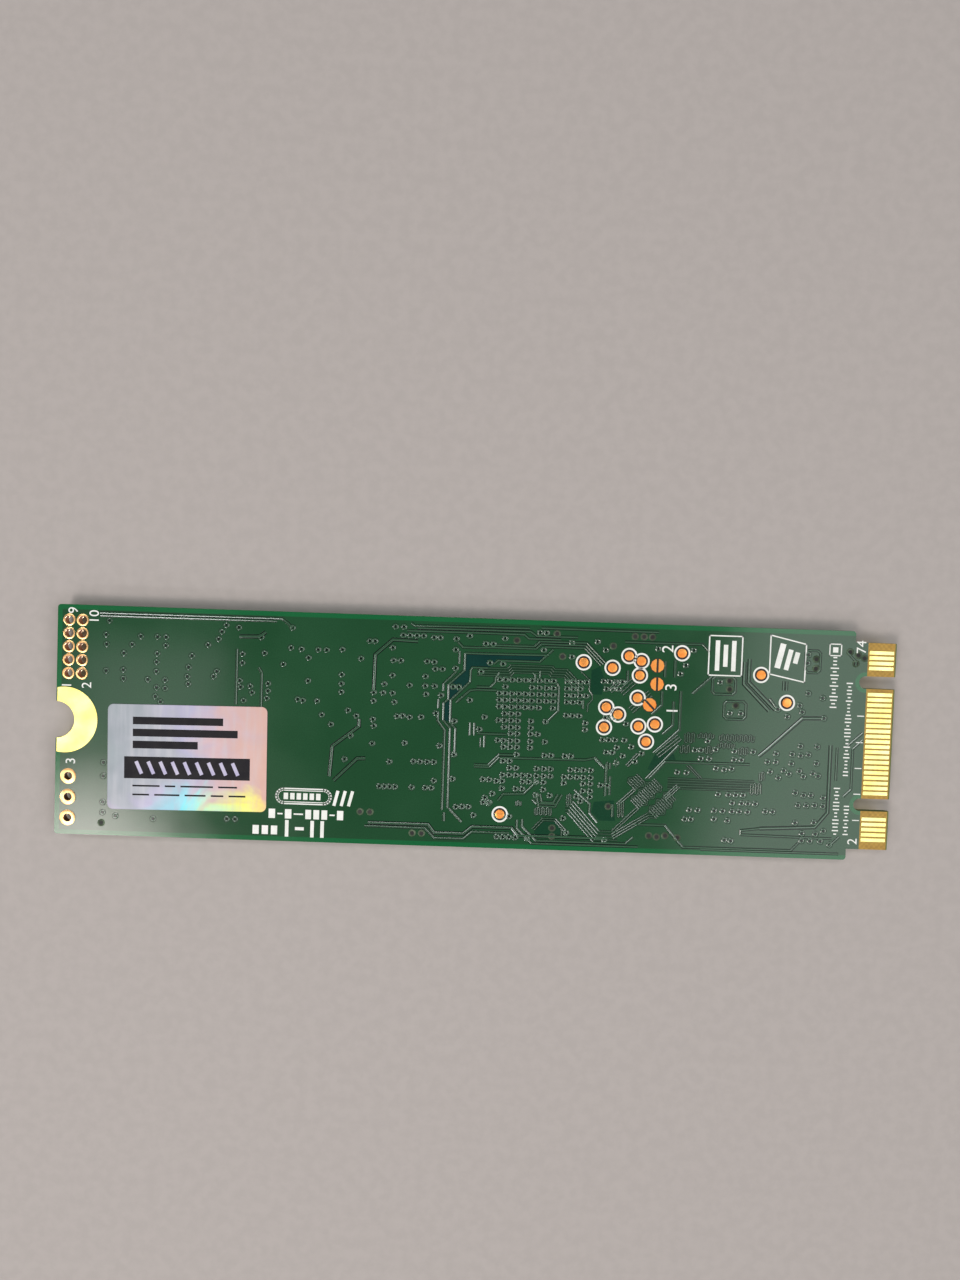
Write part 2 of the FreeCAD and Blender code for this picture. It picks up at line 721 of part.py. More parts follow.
# Places of the chips: the flash chips from the screw end, the memory and power parts from the connector's
# shoulder and the upper edge, and the controller between them, with what room is left shared out.
flash_a_x = from_screw_end("flash_from_end + flash_length / 2")
flash_gap_x = from_screw_end("flash_from_end + flash_length + flash_spacing / 2")
flash_b_start = from_screw_end("flash_from_end + flash_length + flash_spacing")
flash_b_x = f"({flash_b_start} + flash_length / 2)"
flash_end = f"({flash_b_start} + flash_length)"
memory_start = f"({shoulder} - memory_from_shoulder - memory_length)"
memory_x = f"({memory_start} + memory_length / 2)"
packed_length = "(controller_length + crystal_width + 3 * lane)"
spare_length = f"({memory_start} - {flash_end} - {packed_length})"
controller_start = f"({flash_end} + 2 * lane + {spare_length} / 2)"
controller_x = f"({controller_start} + controller_length / 2)"
controller_end = f"({controller_start} + controller_length)"
bay_x = f"(({controller_end} + lane + {memory_start}) / 2)"
inductor_x = f"({memory_start} + inductor_from_memory)"
inductor_y = from_upper_edge("inductor_from_top + inductor_width / 2")
inductor_low = from_upper_edge("inductor_from_top + inductor_width")
power_x = f"({memory_start} + power_chip_from_memory)"
power_y = f"({inductor_low} - lane - power_chip_side / 2)"
memory_top = f"({power_y} - power_chip_side / 2 - lane - memory_spacing)"
memory_y = f"({memory_top} - memory_width / 2)"
crystal_y = from_upper_edge("crystal_from_top")
boot_y = from_lower_edge("boot_chip_from_bottom")
switch_x = f"({shoulder} - switch_from_shoulder)"
switch_y = from_upper_edge("switch_from_top")
large_cap_x = f"({shoulder} - large_cap_from_shoulder)"
large_cap_reach = "((large_cap_count - 1) * large_cap_pitch)"
large_cap_y = from_upper_edge(f"inductor_from_top + large_cap_length / 2 + {large_cap_reach} / 2")

# The header's rows fill the room between the upper edge and the screw pad.
header_room = "board_width / 2 - header_from_top - screw_pad_radius - header_ring_radius - header_clearance"
header_rows = fit_count(header_room, "header_pitch")
header_cross = ("X", "header_columns", "(header_columns - 1) * header_pitch")

make_circuit_board()
make_contact_fingers("back", topside, "key_near_gap", "key_far_gap")
make_contact_fingers("front", f"{underside} - plating_thickness", "key_far_gap", "key_near_gap")
make_screw_pad("back", topside)
make_screw_pad("front", f"{underside} - plating_thickness")
make_hole_sleeves(
    "header", from_screw_end("header_from_end"), from_upper_edge("header_from_top"),
    "header_bore_radius", "header_ring_radius", header_rows, "header_pitch", True, header_cross,
)
make_hole_sleeves(
    "debug", from_screw_end("debug_from_end"), from_lower_edge("debug_from_bottom"),
    "debug_bore_radius", "debug_ring_radius", "debug_count", "debug_pitch", False,
)
make_test_pads()
make_jumper_pads()
make_hologram_label()

flash_height = "(component_height - ball_height)"
ball_chips = [
    ("flash_chip_a", "flash", flash_a_x, "0", flash_height),
    ("flash_chip_b", "flash", flash_b_x, "0", flash_height),
    ("controller_chip", "controller", controller_x, "0", "controller_body_height"),
    ("memory_chip", "memory", memory_x, memory_y, "memory_body_height"),
]
for name, kind, x, y, height in ball_chips:
    length, width = f"{kind}_length", f"{kind}_width"
    make_chip(name, x, y, length, width, height, "ball_height", "mark")
    pitch, radius = f"{kind}_ball_pitch", f"{kind}_ball_radius"
    make_solder_balls(f"{name}_solder_balls", x, y, length, width, pitch, radius)

four_sides = ("left", "right", "lower", "upper")
flat_chips = [
    ("power_chip", power_x, power_y, "power_chip_side", "power_chip_side", four_sides),
    ("boot_chip", bay_x, boot_y, "boot_chip_width", "boot_chip_length", ("left", "right")),
]
for name, x, y, length, width, sides in flat_chips:
    make_chip(name, x, y, length, width, f"{name}_height", "contact_height", "small_mark")
    make_side_contacts(f"{name}_contacts", x, y, length, width, sides)
make_inductors(inductor_x, inductor_y)
make_input_switch(switch_x, switch_y)
make_crystal(bay_x, crystal_y)

above_controller = "(controller_width / 2 + lane / 2)"
below_controller = "(0 - controller_width / 2 - lane / 2)"
before_controller = f"({controller_start} - lane / 2)"
after_controller = f"({controller_end} + lane / 2)"
above_power = f"({inductor_low} - lane / 2)"
below_crystal = f"({crystal_y} - crystal_length / 2 - lane / 2)"
small_pitch, wide_pitch, resistor_pitch = "small_cap_pitch", "(2 * small_cap_pitch)", "resistor_pitch"
row_along_controller = fit_count("controller_length - small_cap_length", small_pitch)
column_at_controller = fit_count("controller_width - 2 * lane", small_pitch)
# Each row: name, middle of the row, the way a piece lies, the way the row runs, count, pitch.
make_chip_rows("small_capacitor_blocks", "small_capacitor_ends", "small_cap", [
    ("above_controller", controller_x, above_controller, "X", "X", row_along_controller, small_pitch),
    ("below_controller", controller_x, below_controller, "X", "X", row_along_controller, small_pitch),
    ("before_controller", before_controller, "0", "Y", "Y", column_at_controller, small_pitch),
    ("after_controller", after_controller, "0", "Y", "Y", column_at_controller, small_pitch),
    ("between_flash", flash_gap_x, "0", "Y", "Y", fit_count("flash_width - 2 * lane", wide_pitch), wide_pitch),
    ("above_power", power_x, above_power, "X", "X", fit_count("power_chip_side", small_pitch), small_pitch),
    ("below_crystal", bay_x, below_crystal, "X", "X", fit_count("crystal_width", small_pitch), small_pitch),
])
make_chip_rows("large_capacitor_blocks", "large_capacitor_ends", "large_cap", [
    ("at_connector", large_cap_x, large_cap_y, "Y", "Y", "large_cap_count", "large_cap_pitch"),
])
column_after_flash = fit_count("controller_width", resistor_pitch)
row_along_memory = fit_count("memory_length - 2 * lane", resistor_pitch)
after_flash, above_memory = f"({flash_end} + lane / 2)", f"({memory_top} + lane / 2)"
make_chip_rows("resistor_blocks", "resistor_ends", "resistor", [
    ("after_flash", after_flash, "0", "Y", "Y", column_after_flash, resistor_pitch),
    ("above_memory", memory_x, above_memory, "X", "X", row_along_memory, resistor_pitch),
])

document.recompute()
faults = [item.Name for item in document.Objects if {"Invalid", "Error"} & set(item.State)]
faults += [part.Label for part in sub_parts if part.Shape.isNull() or not part.Shape.isValid()]
if faults:
    raise RuntimeError(f"failed objects: {faults}")

os.makedirs("parts", exist_ok=True)
for part in sub_parts:
    part.Shape.exportStep(f"parts/{part.Label}.step")
    print(f"{part.Label}: {len(part.Shape.Solids)} solids, {part.Shape.Volume:.4f} mm3")
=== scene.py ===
import math
import random

import bmesh
import bpy
from mathutils import Matrix, Vector


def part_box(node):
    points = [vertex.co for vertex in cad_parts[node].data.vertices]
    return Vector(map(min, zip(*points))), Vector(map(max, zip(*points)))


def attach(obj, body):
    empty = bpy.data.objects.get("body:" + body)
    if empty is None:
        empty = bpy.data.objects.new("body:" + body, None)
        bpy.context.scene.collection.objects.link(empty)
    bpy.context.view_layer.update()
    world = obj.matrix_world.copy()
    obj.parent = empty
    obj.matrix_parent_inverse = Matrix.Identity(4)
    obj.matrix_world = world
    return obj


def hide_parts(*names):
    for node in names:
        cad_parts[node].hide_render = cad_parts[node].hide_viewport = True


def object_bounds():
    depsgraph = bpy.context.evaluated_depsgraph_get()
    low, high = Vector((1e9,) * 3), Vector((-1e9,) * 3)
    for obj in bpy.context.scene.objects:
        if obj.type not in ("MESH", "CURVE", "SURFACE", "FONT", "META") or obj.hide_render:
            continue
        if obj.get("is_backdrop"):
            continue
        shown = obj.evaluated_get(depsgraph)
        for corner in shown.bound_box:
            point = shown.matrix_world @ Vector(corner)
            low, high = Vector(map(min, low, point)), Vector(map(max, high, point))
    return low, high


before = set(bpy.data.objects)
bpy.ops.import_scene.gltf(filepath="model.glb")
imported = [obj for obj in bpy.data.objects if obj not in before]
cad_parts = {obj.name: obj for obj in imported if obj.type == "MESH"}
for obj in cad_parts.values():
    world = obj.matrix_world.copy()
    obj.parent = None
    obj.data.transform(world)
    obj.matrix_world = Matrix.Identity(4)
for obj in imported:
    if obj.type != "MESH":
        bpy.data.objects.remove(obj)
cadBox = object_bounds()
print("frame loaded with", len(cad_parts), "nodes")

mm = 0.001
cardLow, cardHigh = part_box("circuit_board")
backZ, frontZ = cardHigh.z, cardLow.z  # the bare back looks up, the chips hang under the front
middleZ, halfCard = (backZ + frontZ) / 2, (backZ - frontZ) / 2
scene = bpy.context.scene
rng = random.Random(7)


def onBack(u, v, lift=0.0):  # millimetres from the screw end, from the upper long edge, above the back
    return Vector((cardLow.x + u * mm, cardHigh.y - v * mm, backZ + lift * mm))


# Shader helpers

def tone(red, green, blue):  # a screen colour as the linear colour that a shader takes
    channels = [channel / 255 for channel in (red, green, blue)]
    linear = [c / 12.92 if c <= 0.04045 else ((c + 0.055) / 1.055) ** 2.4 for c in channels]
    return (*linear, 1.0)


def addNode(tree, kind, inputs=(), **settings):
    made = tree.nodes.new("ShaderNode" + kind)
    for setting, value in settings.items():
        setattr(made, setting, value)
    for socket, value in dict(inputs).items():
        if isinstance(value, bpy.types.NodeSocket):
            tree.links.new(value, made.inputs[socket])
        else:
            made.inputs[socket].default_value = value
    return made


def calc(tree, operation, first, second=0.0):
    return addNode(tree, "Math", {0: first, 1: second}, operation=operation).outputs[0]


def ease(tree, value, low, high, toLow=0.0, toHigh=1.0):  # smooth step from low to high
    inputs = {0: value, 1: low, 2: high, 3: toLow, 4: toHigh}
    return addNode(tree, "MapRange", inputs, interpolation_type="SMOOTHSTEP").outputs[0]


def between(tree, mask, low, high):  # low where the mask is 0, high where it is 1
    return ease(tree, mask, 0.0, 1.0, low, high)


def blendColor(tree, factor, first, second, mode="MIX"):
    mixer = addNode(tree, "Mix", {0: factor, 6: first, 7: second}, data_type="RGBA", blend_type=mode)
    return mixer.outputs[2]


def objectPlace(tree):
    return addNode(tree, "TexCoord").outputs["Object"]


def splitAxes(tree, vector):
    return addNode(tree, "SeparateXYZ", {0: vector}).outputs


def fromMiddle(tree):  # how far a point lies from the card's middle plane
    height = splitAxes(tree, objectPlace(tree))["Z"]
    return calc(tree, "ABSOLUTE", calc(tree, "SUBTRACT", height, middleZ))


def newMaterial(name, **constants):
    material = bpy.data.materials.new(name)
    material.use_nodes = True
    shader = material.node_tree.nodes["Principled BSDF"]
    for socket, value in constants.items():
        shader.inputs[socket.replace("_", " ")].default_value = value
    return material, material.node_tree, shader


def feed(tree, shader, **sockets):  # links to the shader's sockets, named with _ for a space
    for socket, value in sockets.items():
        tree.links.new(value, shader.inputs[socket.replace("_", " ")])


def roughen(tree, shader, height, strength, distance):
    bump = addNode(tree, "Bump", {"Height": height, "Strength": strength, "Distance": distance})
    feed(tree, shader, Normal=bump.outputs["Normal"])


def newGroup(name, inputs, outputs):
    group = bpy.data.node_groups.new(name, "ShaderNodeTree")
    newSocket = group.interface.new_socket
    for label, value in inputs.items():
        newSocket(label, in_out="INPUT", socket_type="NodeSocketFloat").default_value = value
    for label in outputs:
        newSocket(label, in_out="OUTPUT", socket_type="NodeSocketFloat")
    return group, group.nodes.new("NodeGroupInput").outputs, group.nodes.new("NodeGroupOutput").inputs


def makeGrainGroup():  # Tone varies a colour, Height feeds a bump, Scale is grains per metre
    group, given, made = newGroup("fine grain", {"Scale": 4000.0, "Spread": 0.2}, ("Tone", "Height"))
    inputs = {"Vector": objectPlace(group), "Scale": given["Scale"], "Detail": 4.0}
    fine = addNode(group, "TexNoise", inputs).outputs["Fac"]
    lowTone = calc(group, "SUBTRACT", 1.0, given["Spread"])
    highTone = calc(group, "ADD", 1.0, given["Spread"])
    group.links.new(ease(group, fine, 0.3, 0.7, lowTone, highTone), made["Tone"])
    group.links.new(fine, made["Height"])
    return group


def makeMarksGroup():  # Smudge is a soft cloud, Scratch is fine lines along one way
    group, given, made = newGroup("handling marks", {"Size": 300.0, "Turn": 0.3}, ("Smudge", "Scratch"))
    place = objectPlace(group)
    cloud = addNode(group, "TexNoise", {"Vector": place, "Scale": given["Size"], "Detail": 3.0})
    turn = {"Vector": place, "Angle": given["Turn"]}
    turned = addNode(group, "VectorRotate", turn, rotation_type="Z_AXIS").outputs[0]
    drawn = addNode(group, "Mapping", {"Vector": turned, "Scale": (300.0, 16000.0, 300.0)}).outputs[0]
    lines = addNode(group, "TexNoise", {"Vector": drawn, "Scale": 1.0, "Detail": 2.0})
    group.links.new(ease(group, cloud.outputs["Fac"], 0.22, 0.78), made["Smudge"])
    group.links.new(ease(group, lines.outputs["Fac"], 0.58, 0.72), made["Scratch"])
    return group


grainGroup, marksGroup = makeGrainGroup(), makeMarksGroup()


def useGroup(tree, group, **values):
    placed = addNode(tree, "Group", {}, node_tree=group)
    for label, value in values.items():
        placed.inputs[label].default_value = value
    return placed.outputs


def addGrain(tree, scale, spread):
    return useGroup(tree, grainGroup, Scale=scale, Spread=spread)


def addMarks(tree, size, turn):
    return useGroup(tree, marksGroup, Size=size, Turn=turn)


def speckled(tree, colour, grain):
    return blendColor(tree, 1.0, colour, grain["Tone"], "MULTIPLY")


print("shader groups ready")

# Finishes

maskTones = {
    "pour": tone(30, 75, 45),  # mask over copper
    "border": tone(16, 106, 58),  # mask over bare laminate
    "driftDeep": tone(22, 64, 36),
    "driftLight": tone(40, 88, 56),
    "reliefDeep": tone(28, 72, 43),
    "reliefLight": tone(36, 82, 51),
    # painted shade: dark colour for the gaps and pits between the copper, where shade falls
    "grooveShade": tone(7, 26, 17),
    "thin": tone(150, 178, 158),  # mask stretched thin over a copper edge, partly a painted highlight on the slopes
}
laminateTones = {
    "resinDeep": tone(150, 112, 38),
    "resinLight": tone(206, 166, 74),
    "thread": tone(122, 96, 36),
    "plyDeep": tone(92, 110, 52),
    "plyLight": tone(150, 158, 92),
}
cardZones = {
    "maskEnd": 77.22,  # where the mask stops before the contacts
    "borderWidth": 0.46,
    "keyRoot": 77.1,
    "keyOffsets": (4.875, 16.625),
    "haloRadius": 1.0,  # round the root of each key slot, where no copper lies
}


def maskGloss(tree, marks):
    return between(tree, marks["Smudge"], 0.11, 0.16)


def pourMask(tree, place):  # 1 over the copper, 0 along the card's edges and round the key slots
    axes = splitAxes(tree, place)
    sideways = calc(tree, "SUBTRACT", cardHigh.y, calc(tree, "ABSOLUTE", axes["Y"]))
    lengthways = calc(tree, "SUBTRACT", axes["X"], cardLow.x)
    toEdge = calc(tree, "MINIMUM", sideways, lengthways)
    width, halo = cardZones["borderWidth"], cardZones["haloRadius"] * mm
    inner = ease(tree, toEdge, (width - 0.06) * mm, (width + 0.03) * mm)
    flat = addNode(tree, "CombineXYZ", {0: axes["X"], 1: axes["Y"], 2: backZ}).outputs[0]
    for offset in cardZones["keyOffsets"]:
        root = onBack(cardZones["keyRoot"], offset)
        away = addNode(tree, "VectorMath", {0: flat, 1: root}, operation="DISTANCE").outputs["Value"]
        inner = calc(tree, "MULTIPLY", inner, ease(tree, away, halo * 0.96, halo))
    return inner


def laminateColours(tree, place):  # woven glass in yellow resin, and the plies at a cut wall
    threads = addNode(tree, "Mapping", {"Vector": place, "Scale": (4200.0, 4200.0, 9000.0)}).outputs[0]
    weave = addNode(tree, "TexChecker", {"Vector": threads, "Scale": 1.0}).outputs["Fac"]
    cloth = addNode(tree, "TexNoise", {"Vector": threads, "Scale": 0.6, "Detail": 3.0}).outputs["Fac"]
    resin = blendColor(tree, cloth, laminateTones["resinDeep"], laminateTones["resinLight"])
    resin = blendColor(tree, calc(tree, "MULTIPLY", weave, 0.25), resin, laminateTones["thread"])
    layers = {"Vector": place, "Scale": 2200.0, "Distortion": 2.0}
    plies = addNode(tree, "TexWave", layers, bands_direction="Z").outputs["Fac"]
    return resin, blendColor(tree, plies, laminateTones["plyDeep"], laminateTones["plyLight"])


def makeCardFinish():
    material, tree, shader = newMaterial("card mask and laminate", Specular_IOR_Level=0.5)
    place = objectPlace(tree)
    marks = addMarks(tree, 120.0, 0.2)
    grain = addGrain(tree, 9000.0, 0.1)
    colour = blendColor(tree, pourMask(tree, place), maskTones["border"], maskTones["pour"])
    drift = blendColor(tree, marks["Smudge"], maskTones["driftDeep"], maskTones["driftLight"])
    colour = speckled(tree, blendColor(tree, 0.25, colour, drift), grain)
    resin, plies = laminateColours(tree, place)
    bare = calc(tree, "GREATER_THAN", splitAxes(tree, place)["X"], cardLow.x + cardZones["maskEnd"] * mm)
    cutWall = calc(tree, "LESS_THAN", fromMiddle(tree), halfCard - 0.002 * mm)
    colour = blendColor(tree, cutWall, blendColor(tree, bare, colour, resin), plies)
    dull = calc(tree, "MAXIMUM", bare, cutWall)
    feed(tree, shader, Base_Color=colour, Roughness=between(tree, dull, maskGloss(tree, marks), 0.6))
    roughen(tree, shader, grain["Height"], 0.12, 4e-6)
    return material


def makeReliefFinish():
    # mask over traces and vias: pale where it climbs a copper edge, partly a painted highlight; painted shade
    # down in the gaps
    material, tree, shader = newMaterial(
        "mask over copper relief", Roughness=0.6, Specular_IOR_Level=0.0, Coat_Roughness=0.16, Coat_IOR=1.8,
    )
    height = calc(tree, "SUBTRACT", fromMiddle(tree), halfCard)
    sunkShade = ease(tree, height, 0.003 * mm, 0.009 * mm, 1.0, 0.0)
    facing = splitAxes(tree, addNode(tree, "NewGeometry").outputs["True Normal"])["Z"]
    slopeSheen = ease(tree, calc(tree, "ABSOLUTE", facing), 0.93, 0.985, 1.0, 0.0)
    marks = addMarks(tree, 120.0, 0.2)
    colour = blendColor(tree, marks["Smudge"], maskTones["reliefDeep"], maskTones["reliefLight"])
    # painted shade: the sunk gaps and pits take the dark groove colour
    colour = blendColor(tree, sunkShade, colour, maskTones["grooveShade"])
    # paler on the slopes: thin mask over copper, partly a painted highlight
    colour = blendColor(tree, calc(tree, "MULTIPLY", slopeSheen, 0.06), colour, maskTones["thin"])
    colour = speckled(tree, colour, addGrain(tree, 9000.0, 0.1))
    feed(tree, shader, Base_Color=colour, Coat_Weight=between(tree, sunkShade, 1.0, 0.35))  # less coat in the gaps, so their painted shade stays dark
    return material


def makeClearFinish(name, deep, light):
    material, tree, shader = newMaterial(name, Specular_IOR_Level=0.5)
    marks = addMarks(tree, 260.0, 0.2)
    colour = speckled(tree, blendColor(tree, marks["Smudge"], deep, light), addGrain(tree, 7000.0, 0.12))
    feed(tree, shader, Base_Color=colour, Roughness=maskGloss(tree, marks))
    return material


def makeMetalFinish(name, light, deep, smooth, dull, turn, size=400.0):
    material, tree, shader = newMaterial(name, Metallic=1.0)
    marks = addMarks(tree, size, turn)
    colour = speckled(tree, blendColor(tree, marks["Smudge"], light, deep), addGrain(tree, 12000.0, 0.06))
    worn = calc(tree, "MAXIMUM", marks["Smudge"], marks["Scratch"])
    feed(tree, shader, Base_Color=colour, Roughness=between(tree, worn, smooth, dull))
    roughen(tree, shader, marks["Scratch"], 0.15, 2e-6)
    return material


def makeSleeveFinish(name, paintedBoreTone):
    # plated hole: bright on the rings, dull down the bore, where a painted tone stands for the shade and
    # light seen in the hole
    material, tree, shader = newMaterial(name)
    marks = addMarks(tree, 600.0, 0.7)
    bore = ease(tree, fromMiddle(tree), halfCard - 0.12 * mm, halfCard + 0.01 * mm, 1.0, 0.0)
    ring = blendColor(tree, marks["Smudge"], tone(246, 202, 144), tone(232, 178, 114))
    ringGloss = between(tree, marks["Smudge"], 0.24, 0.36)
    # the bore takes the painted tone: light on the header bore walls, shade down the debug bores
    feed(tree, shader, Base_Color=blendColor(tree, bore, ring, paintedBoreTone))
    feed(tree, shader, Metallic=calc(tree, "SUBTRACT", 1.0, bore))
    feed(tree, shader, Roughness=between(tree, bore, ringGloss, 0.9))
    roughen(tree, shader, marks["Scratch"], 0.15, 2e-6)
    return material


def makeGrainFinish(name, light, deep, smooth, dull, scale, spread=0.2):
    material, tree, shader = newMaterial(name)
    marks = addMarks(tree, 350.0, 0.9)
    grain = addGrain(tree, scale, spread)
    colour = speckled(tree, blendColor(tree, marks["Smudge"], light, deep), grain)
    feed(tree, shader, Base_Color=colour, Roughness=between(tree, marks["Smudge"], smooth, dull))
    roughen(tree, shader, grain["Height"], 0.35, 4e-6)
    return material


def makeInkFinish(name, fresh, worn, under, cover):
    # print: patchy, so what lies under it shows through a little
    material, tree, shader = newMaterial(name, Specular_IOR_Level=0.2)
    marks = addMarks(tree, 900.0, 0.5)
    grain = addGrain(tree, 16000.0, 0.12)
    thin = ease(tree, grain["Height"], 0.56, 0.72, 0.0, 1.0 - cover)
    colour = blendColor(tree, thin, blendColor(tree, marks["Smudge"], fresh, worn), under)
    feed(tree, shader, Base_Color=colour, Roughness=between(tree, marks["Smudge"], 0.45, 0.6))
    roughen(tree, shader, grain["Height"], 0.2, 3e-6)
    return material


# painted reflection: the foil's rainbow tints and pale streaks are painted as fixed colour
foilReflectionTints = {  # from the left end of the label to the right
    "upper": [
        (0.0, tone(150, 160, 166)), (0.3, tone(170, 174, 184)), (0.55, tone(178, 176, 202)),
        (0.75, tone(204, 178, 184)), (1.0, tone(213, 173, 160)),
    ],
    "lower": [
        (0.0, tone(170, 168, 182)), (0.25, tone(182, 180, 206)), (0.5, tone(132, 228, 238)),
        (0.72, tone(208, 236, 172)), (0.86, tone(244, 242, 118)), (1.0, tone(242, 206, 142)),
    ],
    "sheenStreak": tone(198, 198, 204),
}


def colourRamp(tree, value, stops):
    ramp = addNode(tree, "ValToRGB", {0: value})
    ramp.color_ramp.elements.remove(ramp.color_ramp.elements[1])
    ramp.color_ramp.elements[0].color = stops[0][1]
    for position, colour in stops[1:]:
        ramp.color_ramp.elements.new(position).color = colour
    return ramp.outputs["Color"]


def makeFoilFinish():
    # silver foil whose pastel tints, a painted iridescent reflection, drift over the label, with painted pale
    # sheen streaks and fine diffraction lines
    material, tree, shader = newMaterial("rainbow foil", Metallic=0.15, Specular_IOR_Level=0.3)
    place = objectPlace(tree)
    axes = splitAxes(tree, place)
    low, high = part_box("hologram_label")
    drift = addNode(tree, "TexNoise", {"Vector": place, "Scale": 260.0, "Detail": 3.0, "Distortion": 0.6})
    wander = ease(tree, drift.outputs["Fac"], 0.2, 0.8, -2.6 * mm, 2.6 * mm)
    across = ease(tree, calc(tree, "ADD", axes["X"], wander), low.x - 2 * mm, high.x + 2 * mm)
    band = ease(tree, calc(tree, "ADD", axes["Y"], wander), low.y + 0.4 * mm, low.y + 3.0 * mm, 1.0, 0.0)
    upper, lower = (colourRamp(tree, across, foilReflectionTints[row]) for row in ("upper", "lower"))
    lay = {"Vector": place, "Rotation": (0, 0, 0.8), "Scale": (1500.0, 120.0, 1.0)}
    drawn = addNode(tree, "Mapping", lay).outputs[0]
    sheenStreak = addNode(tree, "TexNoise", {"Vector": drawn, "Scale": 1.0, "Detail": 3.0}).outputs["Fac"]
    # pale painted sheen along diagonal streaks
    pale = ease(tree, sheenStreak, 0.4, 0.75, 0.0, 0.4)
    colour = blendColor(tree, pale, blendColor(tree, band, upper, lower), foilReflectionTints["sheenStreak"])
    gloss = between(tree, addMarks(tree, 500.0, 0.8)["Smudge"], 0.4, 0.52)
    feed(tree, shader, Base_Color=colour, Roughness=gloss)
    rules = {"Vector": place, "Scale": 3000.0, "Distortion": 1.0}
    ruled = addNode(tree, "TexWave", rules, bands_direction="DIAGONAL").outputs["Fac"]
    roughen(tree, shader, ruled, 0.06, 2e-6)
    return material


finishes = {
    "card": makeCardFinish(),
    "relief": makeReliefFinish(),
    "clear": makeClearFinish("mask over bare laminate", tone(8, 50, 46), tone(12, 58, 50)),
    "dim": makeClearFinish("mask over sparse copper", tone(16, 60, 40), tone(20, 66, 42)),
    # bore tones are painted: light on the header bore walls, shade down the debug bores
    "headerGold": makeSleeveFinish("plated header hole", tone(186, 132, 98)),
    "debugGold": makeSleeveFinish("plated debug hole", tone(96, 62, 30)),
    "foil": makeFoilFinish(),
}
metals = {  # name, light and deep tone, smoothest and dullest, turn and size of the marks
    "gold": ("hard gold", tone(255, 249, 172), tone(254, 241, 144), 0.34, 0.46, 0.0),
    "padGold": ("screw pad gold", tone(255, 244, 160), tone(253, 233, 124), 0.36, 0.48, 0.3),
    "copper": ("bare copper", tone(248, 170, 92), tone(236, 142, 66), 0.34, 0.5, 0.4, 1400.0),
    "solder": ("tin solder", tone(196, 198, 202), tone(160, 164, 170), 0.28, 0.46, 0.2, 2500.0),
    "lid": ("nickel lid", tone(206, 200, 188), tone(178, 172, 160), 0.26, 0.4, 1.2),
    "viaRing": ("dull via ring", tone(84, 98, 80), tone(60, 74, 58), 0.4, 0.55, 0.3, 1500.0),
}
grains = {  # name, light and deep tone, smoothest and dullest, grains per metre, spread of tone
    "pit": ("bare laminate in a mask opening", tone(44, 24, 12), tone(30, 17, 10), 0.5, 0.6, 9000.0),
    # painted shade: dark colour of the disc that stands for the inside of an open via
    "hole": ("open via hole", tone(12, 13, 11), tone(20, 19, 15), 0.5, 0.7, 9000.0),
    "mould": ("moulded epoxy", tone(34, 34, 36), tone(26, 26, 28), 0.5, 0.62, 11000.0),
    "chipDot": ("marked epoxy", tone(74, 74, 76), tone(62, 62, 64), 0.55, 0.7, 11000.0),
    "inductor": ("pressed iron powder", tone(70, 68, 66), tone(54, 53, 52), 0.6, 0.75, 9000.0, 0.35),
    "ceramic": ("capacitor ceramic", tone(150, 122, 92), tone(132, 104, 78), 0.4, 0.55, 14000.0),
    "resistor": ("resistor coat", tone(22, 22, 26), tone(30, 30, 34), 0.3, 0.4, 12000.0),
    "tray": ("crystal tray ceramic", tone(190, 180, 158), tone(170, 160, 140), 0.5, 0.6, 12000.0),
}
inks = {  # name, fresh and worn tone, tone that shows through, cover
    "whiteInk": ("white legend ink", tone(250, 250, 246), tone(234, 238, 230), tone(120, 150, 130), 0.7),
    "blackInk": ("black label ink", tone(12, 11, 16), tone(22, 20, 28), tone(90, 86, 108), 0.9),
    "silverInk": ("silver label ink", tone(206, 202, 222), tone(188, 182, 216), tone(150, 146, 180), 0.8),
}
for table, makeFinish in ((metals, makeMetalFinish), (grains, makeGrainFinish), (inks, makeInkFinish)):
    for key, values in table.items():
        finishes[key] = makeFinish(*values)
print("finishes ready:", len(finishes))

# Mesh helpers

def addPiece(name, bm, finish, slotName, *replaced, sharp=20):
    for face in bm.faces:
        face.smooth = True
    for edge in bm.edges:  # edges that turn by more than this many degrees stay crisp
        edge.smooth = edge.calc_face_angle(0) < math.radians(sharp)
    mesh = bpy.data.meshes.new(name)
    bm.to_mesh(mesh)
    bm.free()
    mesh.materials.append(finishes[finish])
    piece = bpy.data.objects.new(name, mesh)
    scene.collection.objects.link(piece)
    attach(piece, "root")
    if replaced:
        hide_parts(*replaced)


def mergedCopy(node):
    bm = bmesh.new()
    bm.from_mesh(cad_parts[node].data)
    bmesh.ops.remove_doubles(bm, verts=bm.verts, dist=0.001 * mm)
    return bm


def softenedCopy(node, width, steps=2):  # a copy of a node with its sharp edges rounded
    bm = mergedCopy(node)
    bmesh.ops.dissolve_limit(bm, angle_limit=math.radians(2), verts=bm.verts, edges=bm.edges)
    sharp = [edge for edge in bm.edges if edge.is_manifold and edge.calc_face_angle() > math.radians(40)]
    bmesh.ops.bevel(
        bm, geom=sharp, offset=width * mm, offset_type="OFFSET", segments=steps, profile=0.5,
        affect="EDGES", clamp_overlap=True, material=-1,
    )
    return bm


